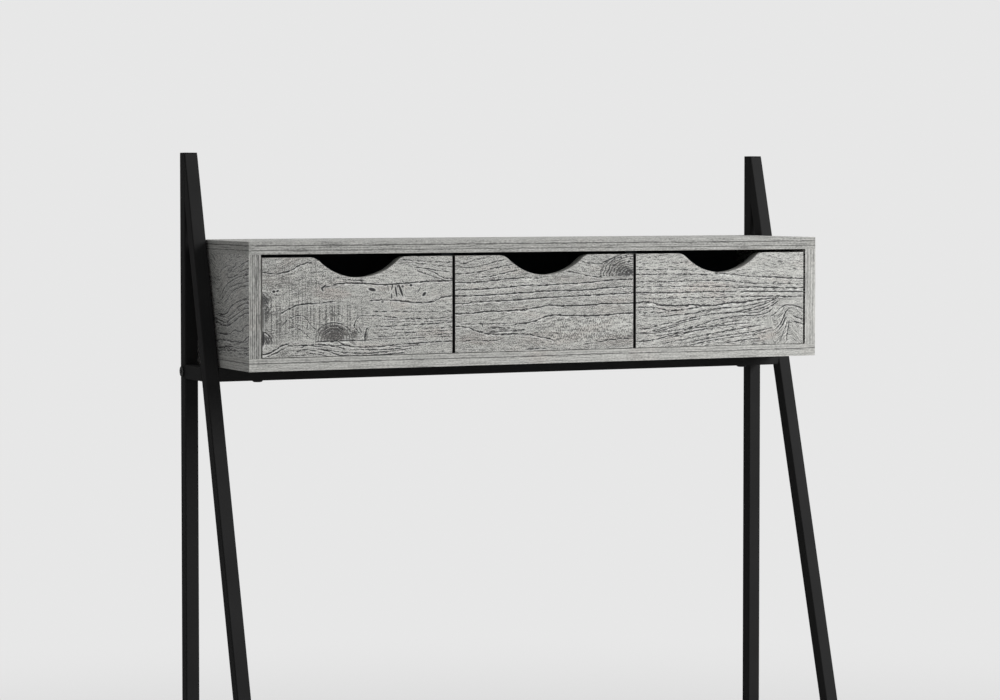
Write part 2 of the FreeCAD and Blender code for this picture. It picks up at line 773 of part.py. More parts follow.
panel_floor = f"({drawer_floor} + Sizes.drawer_panel_lift)"
for bay, name in enumerate(("left_drawer", "middle_drawer", "right_drawer")):
    drawer_front(f"{name}_front", bay)
    drawer_box(name, bay)
    group(f"{name}_runners", runner_pair(drawer_runner, bay))
    group(f"{name}_rollers", wheel_pair("rear_wheel", bay, rear_wheel_x, rear_wheel_y, rear_wheel_z))


# Checks, then one STEP file for each sub-part

doc.recompute()
for item in doc.Objects:
    failed = [state for state in item.State if state in ("Invalid", "Error")]
    if failed:
        raise RuntimeError(f"{item.Label} did not build: {failed}")
for feature in cuts:
    whole = feature.Base if feature.TypeId == "Part::Cut" else feature.BaseFeature
    if feature.Shape.Volume > whole.Shape.Volume - 0.1:
        raise RuntimeError(f"{feature.Label} cuts nothing")
for label, item in sub_parts.items():
    if item.Shape.isNull() or not item.Shape.isValid():
        raise RuntimeError(f"{label} has no valid shape")

os.makedirs("parts", exist_ok=True)
for label, item in sub_parts.items():
    item.Shape.exportStep(f"parts/{label}.step")
print(f"{len(sub_parts)} sub-parts written")
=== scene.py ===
import bpy
import math
import numpy as np
from mathutils import Euler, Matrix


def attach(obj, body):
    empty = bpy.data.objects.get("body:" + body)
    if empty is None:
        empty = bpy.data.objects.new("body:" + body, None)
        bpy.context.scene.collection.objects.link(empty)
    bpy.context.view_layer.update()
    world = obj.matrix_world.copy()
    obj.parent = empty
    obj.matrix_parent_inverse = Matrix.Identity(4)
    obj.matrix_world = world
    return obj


# Ladder desk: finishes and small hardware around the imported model. Metres, +X right, +Y to the wall, +Z up.
# Lengths inside a pattern are in millimetres, and its pairs such as "warmFrom" are the two ends of a ramp.

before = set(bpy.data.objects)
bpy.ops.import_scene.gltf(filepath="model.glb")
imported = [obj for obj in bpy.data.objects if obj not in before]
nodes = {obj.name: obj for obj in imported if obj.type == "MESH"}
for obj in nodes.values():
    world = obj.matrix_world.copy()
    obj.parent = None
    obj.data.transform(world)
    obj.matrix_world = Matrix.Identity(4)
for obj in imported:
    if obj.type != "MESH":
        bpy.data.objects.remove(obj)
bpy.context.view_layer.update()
print("frame loaded:", len(nodes), "nodes")

xAxis, yAxis, zAxis = 0, 1, 2
millimetres = 1000.0  # in a metre


# Numbers that vary over a surface, written as sums

class Field:
    # One output of a node tree, so that a pattern reads as a formula.

    def __init__(self, tree, socket):
        self.tree = tree
        self.socket = socket

    def step(self, operation, *others, clamp=False):
        node = self.tree.nodes.new("ShaderNodeMath")
        node.operation = operation
        node.use_clamp = clamp
        for slot, item in enumerate((self,) + others):
            feed(self.tree, item, node.inputs[slot])
        return Field(self.tree, node.outputs[0])

    def __add__(self, other):
        return self.step("ADD", other)

    def __sub__(self, other):
        return self.step("SUBTRACT", other)

    def __mul__(self, other):
        return self.step("MULTIPLY", other)

    def __truediv__(self, other):
        return self.step("DIVIDE", other)

    def __rsub__(self, other):
        return (self * -1) + other

    __radd__ = __add__
    __rmul__ = __mul__

    def squared(self):
        return self.step("MULTIPLY", self)

    def size(self):
        return self.step("ABSOLUTE")

    def unit(self):
        return self.step("ADD", 0.0, clamp=True)

    # start at low, end at high, a smooth step between and flat outside. Only a straight ramp needs the clamp.
    def ramp(self, low, high, start=0.0, end=1.0, shape="SMOOTHSTEP"):
        node = self.tree.nodes.new("ShaderNodeMapRange")
        node.interpolation_type = shape
        node.clamp = shape == "LINEAR"
        for slot, item in enumerate((self, low, high, start, end)):
            feed(self.tree, item, node.inputs[slot])
        return Field(self.tree, node.outputs[0])

    # exp(-value), for a value that is a squared distance.
    def bell(self):
        power = self * -1
        node = self.tree.nodes.new("ShaderNodeMath")
        node.operation = "POWER"
        node.inputs[0].default_value = math.e
        feed(self.tree, power, node.inputs[1])
        return Field(self.tree, node.outputs[0])

    def atLeast(self, other):
        return self.step("MAXIMUM", other)

    # Height at this value of a smooth line drawn through points.
    def follow(self, points):
        node = self.tree.nodes.new("ShaderNodeFloatCurve")
        mapping = node.mapping
        mapping.use_clip = False
        mapping.extend = "HORIZONTAL"
        line = mapping.curves[0]
        line.points[0].location = points[0]
        line.points[1].location = points[-1]
        for point in points[1:-1]:
            line.points.new(*point)
        mapping.update()
        feed(self.tree, self, node.inputs["Value"])
        return Field(self.tree, node.outputs[0])


def feed(tree, item, socket):
    if isinstance(item, Field):
        tree.links.new(item.socket, socket)
    else:
        socket.default_value = item


def joined(tree, *parts):
    point = tree.nodes.new("ShaderNodeCombineXYZ")
    for slot, item in enumerate(parts):
        feed(tree, item, point.inputs[slot])
    return Field(tree, point.outputs[0])


# Noise of about 0..1 over lengths already divided by the size of a blot.
def noise(along, across, depth, detail=2.0, roughness=0.5):
    tree = along.tree
    place = joined(tree, along, across, depth)
    node = tree.nodes.new("ShaderNodeTexNoise")
    feed(tree, place, node.inputs["Vector"])
    node.inputs["Scale"].default_value = 1.0
    node.inputs["Detail"].default_value = detail
    node.inputs["Roughness"].default_value = roughness
    return Field(tree, node.outputs["Fac"])


# low where share is 0, high where it is 1 (or low times high); both are colours or fields.
def blendColour(share, low, high, way="MIX"):
    tree = share.tree
    node = tree.nodes.new("ShaderNodeMix")
    node.data_type = "RGBA"
    node.blend_type = way
    feed(tree, share, node.inputs["Factor"])
    for name, item in (("A", low), ("B", high)):
        socket = next(s for s in node.inputs if s.name == name and s.type == "RGBA")
        feed(tree, item if isinstance(item, Field) else (*item, 1.0), socket)
    return Field(tree, next(s for s in node.outputs if s.type == "RGBA"))


# Distance from the centre of an ellipse, 1 on its rim. turn is in degrees from along to across.
def ellipse(place, centre, radii, turn=0.0):
    tree = place.tree
    node = tree.nodes.new("ShaderNodeMapping")
    node.vector_type = "TEXTURE"
    node.inputs["Location"].default_value = (*centre, 0.0)
    node.inputs["Rotation"].default_value = (0.0, 0.0, math.radians(turn))
    node.inputs["Scale"].default_value = (*radii, 1.0)
    feed(tree, place, node.inputs["Vector"])
    length = tree.nodes.new("ShaderNodeVectorMath")
    length.operation = "LENGTH"
    tree.links.new(node.outputs[0], length.inputs[0])
    return Field(tree, length.outputs["Value"])


def newMaterial(name, colour, roughness, specular):
    material = bpy.data.materials.new(name)
    material.use_nodes = True
    shader = material.node_tree.nodes["Principled BSDF"]
    shader.inputs["Base Color"].default_value = (*colour, 1.0)
    shader.inputs["Roughness"].default_value = roughness
    shader.inputs["Specular IOR Level"].default_value = specular
    return material, material.node_tree, shader


def separated(tree, vector):
    node = tree.nodes.new("ShaderNodeSeparateXYZ")
    tree.links.new(vector, node.inputs[0])
    return [Field(tree, output) for output in node.outputs]


# Object coordinates in millimetres.
def position(tree):
    source = tree.nodes.new("ShaderNodeTexCoord")
    return [part * millimetres for part in separated(tree, source.outputs["Object"])]


# How squarely the surface faces each axis, 0..1.
def facing(tree):
    source = tree.nodes.new("ShaderNodeNewGeometry")
    return [part.size() for part in separated(tree, source.outputs["Normal"])]


def addBump(tree, shader, height, strength, distance):
    node = tree.nodes.new("ShaderNodeBump")
    node.inputs["Strength"].default_value = strength
    node.inputs["Distance"].default_value = distance
    feed(tree, height, node.inputs["Height"])
    tree.links.new(node.outputs[0], shader.inputs["Normal"])


def paint(material, *names):
    for name in names:
        nodes[name].data.materials.clear()
        nodes[name].data.materials.append(material)


def addObject(name, data):
    item = bpy.data.objects.new(name, data)
    bpy.context.scene.collection.objects.link(item)
    return item


def addMesh(name, verts, faces, material):
    mesh = bpy.data.meshes.new(name)
    mesh.from_pydata(verts, [], faces)
    mesh.materials.append(material)
    return addObject(name, mesh)


# Laminate: light grey reclaimed wood with black pores, lines and knots

laminate = {
    "mean": (0.4, 0.4, 0.38),  # where the pattern isn't drawn
    "light": (0.65, 0.65, 0.618),
    "dark": (0.125, 0.125, 0.12),
    "ink": (0.02, 0.02, 0.021),
    "pale": (0.78, 0.78, 0.755),  # painted highlight beside lines and holes
    "warm": (1.0, 0.91, 0.885),  # multiplies the grey where the wood is browner
    "warmFrom": (0.52, 0.72),
    "warmShare": 0.35,
    "face": (0.6, 0.8),  # how squarely a point looks out of the board where its face begins
    # Roughness and specular of upright and of level boards
    "upright": (0.46, 0.35),
    "level": (0.62, 0.25),
    "relief": 0.35,
    "reliefDepth": 0.0002,
}

# (length along the grain, height across it, offset from the board's seed), and detail and roughness where
# they aren't 2 and 0.5
patterns = {
    "speckle": (1.7, 1.4, 0, 1.5, 0.85),
    "fibre": (12, 1.1, 7.3, 1.5, 0.6),
    "dash": (9, 1.1, 9.1, 1),
    "cluster": (45, 8, 13.7),
    "band": (150, 12, 5.9),
    "vein": (130, 5.5, 3.1, 2, 0.45),
    "sway": (190, 70, 50, 1),
    "waver": (5, 4, 20, 2.5, 0.6),
    "slide": (8, 5, 23),
    "breaks": (6, 2, 21, 2, 0.6),
    "fineness": (9, 4, 22, 1),
    "sawStripe": (1.5, 90, 30, 0),
    "sawWorn": (4, 1.6, 31, 1),
    "ragged": (9, 7, 41, 3),
    "mottle": (1.9, 1.7, 42, 1, 0.7),
    "frontCloud": (60, 22, 40, 3),
    "sideCloud": (60, 30, 40, 3),
    "levelCloud": (90, 40, 40, 3),
    "edgeFray": (16, 2.5, 1, 1),
    "edgeFine": (45, 0.9, 4, 1.5, 0.6),
    "edgeSpeck": (4, 1.5, 6),
}


# Blots of about 0..1.
def blots(pattern, along, across, seed):
    length, height, offset, *grit = patterns[pattern]
    return noise(along / length, across / height, seed + offset, *grit)


# Browner clouds.
def warmth(pattern, along, across, seed):
    return blots(pattern, along, across, seed).ramp(*laminate["warmFrom"]) * laminate["warmShare"]


# 1 on the two faces of a board, 0 on its edges.
def onFace(turn):
    return turn.ramp(*laminate["face"])


pen = {
    "waver": 2.4,  # how far a line leaves its course
    "slide": 4.0,  # the same along the line
    "fineness": (0.3, 0.7, 0.7, 1.8),
    "halfWidth": (0.45, 0.58),  # added, and for each mm of a line's width
    # (distance from the middle in half widths, ink), where ink below 0 is a painted highlight beside the line
    "profile": [(-2.7, 0), (-1.8, -0.6), (-1.1, 0.2), (-0.65, 1), (0.65, 1), (1.1, 0.2), (1.7, -0.1),
                (2.4, 0)],
    "tip": (2.0, 4.0),  # an end fades over this much outside and inside it
    "gaps": (0.36, 0.28),  # limit of the breaks without gaps, and what the share of breaks adds
    "gapEdge": (0.05, 0.03),
    "gain": 1.6,
}


# What the drawn lines of a panel share: waver in their course, breaks, and how fine they are.
def lineGrit(along, across, seed):
    return {
        "waver": (blots("waver", along, across, seed) - 0.5) * pen["waver"],
        "slide": (blots("slide", along, across, seed) - 0.5) * pen["slide"],
        "breaks": blots("breaks", along, across, seed),
        "fine": blots("fineness", along, across, seed).ramp(*pen["fineness"]),
    }


# Sum of drawn lines, each (width, ink, share of breaks, points). Ink is above 0, a painted highlight beside
# the line below 0.
def drawLines(along, across, lines, grit, total=None):
    placed = across + grit["waver"]
    along = along + grit["slide"]
    added, perWidth = pen["halfWidth"]
    outside, inside = pen["tip"]
    whole, perGap = pen["gaps"]
    under, over = pen["gapEdge"]
    for width, ink, gaps, points in lines:
        half = perWidth * width + added
        offset = (placed - along.follow(points)) * grit["fine"]
        profile = offset.follow([(distance * half, share) for distance, share in pen["profile"]])
        start, end = points[0][0], points[-1][0]
        begun = along.ramp(start - outside, start + inside)
        extent = begun * along.ramp(end - inside, end + outside, 1.0, 0.0)
        limit = whole + perGap * gaps
        part = profile * extent * grit["breaks"].ramp(limit - under, limit + over) * (pen["gain"] * ink)
        total = part if total is None else total + part
    return total


# Rise of the grain over its level at the start, lofted between guides given as (height at the start, rise).
def grainRise(along, across, guides):
    height, points = guides[0]
    rise = along.follow(points)
    low = rise + height
    for height, points in guides[1:]:
        course = along.follow(points)
        high = course + height
        rise = rise + (course - rise) * across.ramp(low, high, shape="LINEAR")
        low = high
    return rise


grain = {
    "veinHalf": 0.028,
    "veinFrom": (0.40, 0.55),
    "dashFrom": (0.58, 0.66),
    "dashInk": 0.95,
    "clustered": 0.3,  # how much denser dashes are inside a cluster
    "speckFrom": (0.60, 0.70),
    "speckInk": 0.8,
    "tone": {"speckle": 5.0, "fibre": 2.2, "band": 0.7, "level": 0.68},
}


# Ink, tone and relief of plain grain, in blots that are long along the grain and thin across its flow.
def grainTexture(along, flow, seed, veins, pores):
    kinds = ("speckle", "fibre", "dash", "cluster", "band", "vein")
    speckle, fibre, dash, cluster, band, vein = (blots(kind, along, flow, seed) for kind in kinds)
    vein = (vein - 0.5).size().ramp(0.0, grain["veinHalf"], 1.0, 0.0)
    veinInk = vein * dash.ramp(*grain["veinFrom"]) * veins
    clustered = dash + (cluster - 0.5) * grain["clustered"]
    dashInk = clustered.ramp(*grain["dashFrom"]) * (grain["dashInk"] * pores)
    speckInk = speckle.ramp(*grain["speckFrom"]) * (grain["speckInk"] * pores)
    ink = veinInk.atLeast(dashInk).atLeast(speckInk)
    share = grain["tone"]
    tone = (speckle - 0.5) * share["speckle"] + (fibre - 0.5) * share["fibre"]
    tone = tone + (band - 0.5) * share["band"] + share["level"]
    return {"ink": ink, "tone": tone, "relief": speckle + fibre}


# Tone and ink of the faces where onFace is 1, of the edges where it is 0.
def faceOrEdge(share, face, edge):
    return {key: edge[key] + (face[key] - edge[key]) * share for key in ("ink", "tone")}


def finishLaminate(tree, shader, mixed, warm, relief, highlight=None):
    colour = blendColour(mixed["tone"].unit(), laminate["dark"], laminate["light"])
    colour = blendColour(warm.unit(), colour, laminate["warm"], "MULTIPLY")
    # Painted highlight beside lines and round holes, in the pale colour.
    if highlight is not None:
        colour = blendColour(highlight.unit(), colour, laminate["pale"])
    colour = blendColour(mixed["ink"].unit(), colour, laminate["ink"])
    feed(tree, colour, shader.inputs["Base Color"])
    addBump(tree, shader, relief, laminate["relief"], laminate["reliefDepth"])


def newLaminate(name, stance):
    return newMaterial(name, laminate["mean"], *laminate[stance])


edging = {
    "drift": 2.4,  # how far a line wanders across the band
    "driftLength": 200.0,
    "fray": (0.3, 0.7, 0.55, 1.5),
    "fineFrom": (0.56, 0.8),
    "fineInk": 0.4,
    "fineTone": 2.0,
    "speckTone": 1.4,
    "lineEdge": (0.5, 1.8),  # half widths at which a line's full ink ends and it is gone
}


# Edge band: long fine lines that drift a little. lines are (level across the band, half width, ink).
def edgeBand(along, across, seed, lines, level):
    drifted = across + (noise(along / edging["driftLength"], 0.0, seed) - 0.5) * edging["drift"]
    fray = blots("edgeFray", along, across, seed).ramp(*edging["fray"])
    fine = blots("edgeFine", along, drifted, seed)
    ink = fine.ramp(*edging["fineFrom"]) * edging["fineInk"]
    full, gone = edging["lineEdge"]
    for place, half, strength in lines:
        ink = ink.atLeast(((drifted - place).size() * fray).ramp(full * half, gone * half, strength, 0.0))
    tone = (fine - 0.5) * edging["fineTone"]
    tone = tone + (blots("edgeSpeck", along, drifted, seed) - 0.5) * edging["speckTone"] + level
    return {"ink": ink, "tone": tone}


# Drawer fronts: u runs right from the left edge, v up from the bottom edge

frontEdges = {
    "lines": [(24.0, 0.5, 0.5), (31.0, 0.6, 0.6)],
    "level": 0.66,
    "gapShadeFrom": (100.0, 190.0),  # u over which the painted shade of the left side edge gives way to that of the right side edge
    "gapShadeFacing": (0.9, 0.98),
}

leftFront = {
    "corner": (-439.0, 1338.8),
    "seed": 2.0,
    "level": -0.03,  # lighter above 0, darker below
    "veins": 0.12,
    "pores": 0.5,
    "gapShadeSides": (0.0, 0.94),  # painted shade on the left and the right side edge, for the dark gap beside the front
    # (width, ink, share of breaks, points of the line)
    "lines": [
        (1.1, 0.95, 0.27, [(21, 115.7), (43, 121.6), (59, 129.2), (74, 131.5)]),
        (0.7, 0.67, 0.42, [(-8, 120.2), (21, 115.7)]),
        (1, 0.92, 0.17, [(26, 60.8), (47, 70.6), (55, 72.7), (89, 75), (109, 77.4)]),
        (0.8, 0.67, 0.32, [(28, 42.3), (38, 52.7), (43, 55.9), (51, 57.8), (59, 58), (65, 53.7), (73, 43.3),
            (81, 36.6)]),
        (0.8, 0.67, 0.42, [(38, 40.3), (45, 41.1), (55, 39), (63, 33.3), (71, 25.7)]),
        (1.3, 0.95, 0.1, [(105, 99.1), (113, 101.3), (125, 101.9), (164, 100.4), (174, 99.5), (261, 103.2),
            (278, 103.3), (297.6, 102.4)]),
        (0.8, 0.67, 0.22, [(117, 107.2), (156, 104.8)]),
        (1, 0.81, 0.1, [(161, 76.6), (174, 77.6), (187, 77.2), (211, 75.9), (236, 72.6), (247, 72.6),
            (261, 74.7), (274, 79.8), (297.6, 80.4)]),
        (1, 0.92, 0.22, [(250, 119.4), (261, 115.5), (274, 108.7), (297.6, 106.3)]),
        (0.8, 0.67, 0.32, [(234, 118.6), (247, 113.8), (278, 104.5)]),
        (0.7, 0.67, 0.42, [(211, 134), (257, 130.9), (297.6, 129.5)]),
        (0.7, 0.67, 0.42, [(222, 129.7), (297.6, 121.9)]),
        (0.7, 0.67, 0.42, [(226, 123.4), (247, 121.3), (268, 118.3), (297.6, 113.9)]),
        (0.9, 0.67, 0.42, [(150, 55.8), (164, 55.9), (178, 54.9), (195, 53.1), (211, 50.6), (228, 50.3),
            (297.6, 51.4)]),
        (0.9, 0.67, 0.42, [(162, 40.2), (170, 40.8), (185, 40.2), (205, 40.7), (297.6, 44.8)]),
        (1, 0.76, 0.17, [(40, 16.8), (53, 15.9), (67, 16.1), (83, 14.3), (97, 15.5), (109, 14.1),
            (123, 15.6), (137, 12.7), (154, 11.5), (205, 14.3), (297.6, 17.2)]),
        (1.2, 0.92, 0.12, [(111, 22.6), (117, 18.2), (125, 14.8), (137, 12.7)]),
        (1, 0.86, 0.12, [(81, 10.2), (89, 9.5), (101, 6.4), (113, 1.8), (133, 0), (160, -0.2),
            (215, 2.2)]),
        (0.8, 0.67, 0.32, [(41, 3.2), (59, 2.4), (73, 4.3), (87, 2.5), (101, -1)]),
        (1.6, 0.92, 0.1, [(-8, 5.5), (9, 6.4), (31, 17.3), (39, 18.2)]),
        (1, 0.67, 0.22, [(5, 1.3), (17, 5.7), (40, 16.8)]),
        (0.8, 0.67, 0.32, [(41, 9.7), (53, 8.5), (65, 10.1), (93, 3.8)]),
        (0.6, 0.66, 0.45, [(165, 61.5), (297.6, 58.5)]), (0.6, 0.66, 0.5, [(175, 50), (297.6, 49)]),
        (0.6, 0.66, 0.5, [(185, 46.5), (240, 46), (297.6, 46.5)]),
        (0.6, 0.66, 0.5, [(170, 36), (230, 35.5), (297.6, 37.5)]),
        (0.6, 0.66, 0.5, [(165, 31), (230, 31), (297.6, 33)]),
        (0.6, 0.66, 0.5, [(170, 26), (240, 26.5), (297.6, 28)]),
        (0.6, 0.66, 0.45, [(160, 22.5), (230, 23), (297.6, 24.5)]),
        (0.9, 0.85, 0.2, [(95, 9.5), (113, 6), (133, 4), (160, 3), (200, 5.5), (225, 8)]),
        (0.8, 0.8, 0.25, [(141, 9), (180, 7.5), (210, 8.5)]),
        (0.8, 0.75, 0.3, [(190, 13), (211, 11.6), (240, 13)]),
        (0.8, 0.75, 0.3, [(56, 13), (80, 17), (125, 9.5)]),
        (0.9, 0.72, 0.3, [(80, 33), (86, 40), (95, 45), (105, 46.8), (115, 46), (124, 42), (131, 36),
            (137, 29)]),
        (0.6, 0.8, 0.15, [(88, 33), (97, 40), (107, 42), (117, 39.5), (125, 33)]),
        (0.6, 0.8, 0.15, [(92, 30), (100, 36), (108, 37.5), (116, 35), (121, 29)]),
        (0.8, 0.9, 0.1, [(79, 20.8), (160, 21.6)]),
        (0.9, 0.9, 0.1, [(-8, 91), (0, 89), (6, 82), (9, 76)]),
        (0.9, 0.9, 0.1, [(-8, 38), (0, 37), (6, 34), (11, 28), (15, 20)]),
    ],
    # The same for steep lines, with points as (v, u)
    "steepLines": [
        (1.3, 0.8, 0.2, [(30.6, 147), (35.4, 142), (41.1, 138), (46.7, 139), (53.2, 143), (55.8, 151)]),
        (1.3, 0.8, 0.2, [(18.6, 154), (24.8, 154), (31.4, 155), (37, 157), (40.2, 162)]),
    ],
    # (height, rise along the front)
    "guides": [
        (0, [(0, 0), (40, 8), (110, 7), (160, 2), (289, 7)]), (18, [(0, 0), (30, 0), (289, 0)]),
        (40, [(0, 0), (162, 0), (289, 4.5)]),
        (52, [(0, -6), (25, -6), (52, 5), (80, 0), (105, 10), (135, 0), (160, 2), (289, -2)]),
        (76, [(0, -14), (26, -13), (55, -3), (109, 1), (161, 0), (226, -2), (289, 4)]),
        (100, [(0, 0), (289, 0)]), (122, [(0, -3), (21, -3), (50, 6), (74, 13), (200, 8), (289, -6)]),
    ],
    # Holes and short cracks: (u, v, radius, radius, turn, ink)
    "spots": [
        (17, 91.8, 2.1, 1.6, 0, 1), (22.5, 92.6, 2, 1.3, 20, 1), (40, 67.6, 1.8, 1.5, 0, 1),
        (91.5, 97.4, 4.4, 1.2, 38, 1), (89.4, 93.9, 3, 1.1, 120, 0.95), (97, 97.4, 4, 0.9, 8, 0.95),
        (106, 98.6, 6, 0.7, 3, 0.7), (165, 92.5, 4.9, 2.1, -14, 1), (196, 96, 4.4, 1.1, 75, 0.9),
        (202, 88.8, 7, 1.2, 101, 1), (209.3, 90.5, 8.3, 1.5, 111, 1),
        (195, 82.8, 3.5, 1.1, 90, 0.9), (189.6, 94.2, 4.4, 0.9, 98, 0.75), (205, 97, 2, 1.2, 20, 0.9),
        (237.5, 90.6, 4.4, 1, 57, 0.8), (232, 88.5, 3.6, 0.8, 30, 0.6),
        (245.5, 84.8, 3.3, 1.8, 45, 1), (212, 96.2, 1.8, 1.5, 0, 0.9), (225, 97.6, 2, 1.6, 0, 1),
        (181, 75, 1.8, 1.6, 0, 0.8), (0.5, 27, 2.4, 9.5, 0, 1), (6, 24, 1.4, 5.5, 25, 0.9),
        (0.5, 80, 3.2, 7.5, 0, 0.8), (5.5, 79, 1.3, 5.5, 30, 0.9), (1, 60, 1.6, 8, 0, 0.7),
        (1, 46, 1.6, 6, 0, 0.7), (147, 36, 1.1, 5, 30, 0.8), (133, 20, 8, 1.8, -35, 0.6),
    ],
    # Darker or lighter and browner areas: (u, v, radius, radius, turn, tone, warmth)
    "patches": [
        (107, 32, 24, 13, 0, -0.75, 0.4), (138, 31, 6, 6, 0, -0.7, 0.2), (155, 28, 4, 7, 0, -0.55, 0.1),
        (1, 78, 9, 10, 0, -1.3, 0.1), (4, 62, 8, 14, 0, -0.7, 0), (6, 26, 9, 8, 0, -0.9, 0.2),
        (18, 50, 22, 24, 0, -0.16, 0), (28, 7, 12, 8, 25, -0.35, 0),
        (22, 110, 28, 16, 0, -0.12, 0.15), (52, 112, 72, 34, 0, -0.14, 0),
        (105, 87, 30, 9, 0, -0.08, 0.5), (190, 95, 40, 6, 0, 0, 0.3), (255, 30, 24, 10, 0, -0.1, 0.3),
        (200, 60, 60, 14, 0, 0.06, 0),
    ],
    # Growth rings of a knot: (u, v, radius, radius, lowest v, rings, ink)
    "rings": [
        (107, 24, 27, 22, 20.5, 6, 0.72), (0, 22, 17, 17, 19, 4, 0.85),
        (0, 76, 14, 16, 40, 3.5, 0.7),
    ],
    # Upright saw marks: (u, v, radius, radius, strength)
    "saw": [
        (62, 78, 44, 46, 0.9), (112, 56, 34, 26, 0.8), (15, 50, 22, 30, 0.8),
    ],
}

middleFront = {
    "corner": (-144.8, 1338.8),
    "seed": 17.0,
    "level": -0.08,
    "veins": 0.5,
    "pores": 0.6,
    "gapShadeSides": (0.94, 0.94),
    "lines": [
        (1, 0.89, 0.15, [(-8, 89.1), (21, 90.4), (52, 90.9), (78, 92.1), (116, 94.9), (138, 94.7),
            (159, 95.4), (220, 98), (240, 99.7), (297.6, 101.5)]),
        (1, 0.89, 0.1, [(-8, 80.8), (63, 82.2), (142, 85.9), (214, 86.9), (240, 89.1), (297.6, 90.8)]),
        (1.1, 0.89, 0.15, [(-8, 71.2), (17, 70.4), (29, 72.1), (78, 73.3), (151, 76.7), (297.6, 81.4)]),
        (1.1, 0.97, 0.08, [(-8, 57), (31, 56.5), (44, 58), (88, 58.8), (125, 61.6), (151, 65.5),
            (170, 64.2), (229, 65.2), (240, 66.4), (262, 65.7), (297.6, 66.6)]),
        (1.2, 0.89, 0.1, [(93, 37.6), (99, 39.4), (112, 40.1), (125, 42.7), (146, 49.1), (166, 51.1),
            (176, 50.1), (196, 49.8), (207, 49), (251, 49.8), (273, 51.7), (297.6, 50.5)]),
        (0.8, 0.65, 0.35, [(10, 40.7), (90, 40.5)]),
        (1.3, 0.95, 0.25, [(-8, 37.5), (21, 35.7), (29, 32.2), (39, 29.1), (45, 29)]),
        (1.1, 0.79, 0.3, [(52, 34.2), (69, 34.6), (88, 33.5)]),
        (1.2, 0.89, 0.3, [(54, 29.4), (95, 29.9), (112, 31.1)]),
        (1.4, 0.97, 0.2, [(46, 26.7), (63, 25.2), (103, 24.9), (118, 23.6), (142, 18.3), (150, 17.2),
            (159, 13.1)]),
        (0.8, 0.65, 0.35, [(12, 15.4), (31, 17.9), (52, 15.9), (78, 18.7)]),
        (0.8, 0.65, 0.45, [(207, 7.8), (229, 9.6), (251, 13), (297.6, 14.1)]),
        (0.8, 0.73, 0.3, [(112, 2.3), (146, 3.4)]),
        (0.9, 0.73, 0.3, [(-8, 112.9), (19, 113.3), (42, 115.9), (61, 120.5), (92, 125.6)]),
        (0.8, 0.65, 0.35, [(6, 122.5), (25, 121.8), (48, 125.4), (65, 129.7), (78, 131.9)]),
        (0.9, 0.79, 0.3, [(31, 107.8), (52, 108.7), (67, 110.9), (84, 114.5), (100, 116.7)]),
        (1, 0.84, 0.2, [(-8, 101.1), (36, 100.7), (78, 104.4), (140, 105.3)]),
        (0.8, 0.65, 0.35, [(-8, 128.7), (15, 127.6), (31, 132.6), (48, 135)]),
        (1.2, 0.97, 0.08, [(235, 124.4), (247, 129.6), (261, 134.5)]),
        (0.9, 0.73, 0.3, [(179, 114.6), (192, 112.5), (207, 109), (225, 106.3), (240, 104.8)]),
        (0.8, 0.65, 0.25, [(204, 129.4), (212, 126.6), (221, 125.9), (229, 124.5), (236, 124.8)]),
    ],
    "guides": [
        (20, [(0, 0), (120, 0), (160, -8), (230, -8), (289, -4)]),
        (38, [(0, 0), (93, 0), (125, 5), (146, 11.5), (166, 13.5), (289, 12.9)]),
        (57, [(0, 0), (88, 1.8), (125, 4.6), (151, 8.5), (289, 9.6)]),
        (89, [(0, 0), (99, 4.7), (181, 7.4), (289, 12.4)]),
        (115, [(0, 0), (45, 3), (92, 12.7), (145, 12), (180, 2), (240, -8), (289, -8)]),
    ],
    "spots": [
        (43, 38.6, 0.9, 2.4, 0, 0.9), (269, 133.4, 1.7, 1.4, 0, 0.95), (282, 127.4, 2.6, 1.6, 20, 0.95),
        (278, 135.3, 2.6, 1.1, -30, 0.9), (285, 132, 1.4, 1.4, 0, 0.9), (270, 109.3, 6.5, 1.8, 4, 0.8),
        (286, 112, 3, 3, 0, 0.95), (280, 108.4, 5, 1.8, 0, 0.9), (267, 107.4, 3.6, 1.2, 0, 0.85),
        (274, 114, 2.6, 1.6, 30, 0.8), (58, 27.5, 9, 0.8, 2, 0.85), (78, 31.8, 8, 0.8, 3, 0.8),
        (63, 36.6, 7, 0.7, 0, 0.7), (86, 121, 2.4, 0.9, -25, 0.8),
    ],
    "patches": [
        (277, 112, 15, 8, 0, -1.5, 0.1), (266, 116, 24, 14, 0, -0.4, 0.1), (281, 131, 6, 6, 0, 0.6, 0),
        (150, 17, 60, 12, 0, -0.1, 0.3), (40, 20, 40, 12, 0, -0.1, 0.3), (120, 55, 45, 9, 10, 0.14, 0),
        (250, 60, 30, 20, 0, 0, 0.2), (260, 12, 40, 10, 0, -0.1, 0.3),
    ],
    "rings": [
        (288, 108, 52, 32, 106.4, 10, 1),
    ],
    # Where the plain grain is fainter: (u, v, radius, radius, share)
    "calm": [
        (235, 32, 75, 20, 0.75), (60, 12, 60, 14, 0.4),
    ],
}

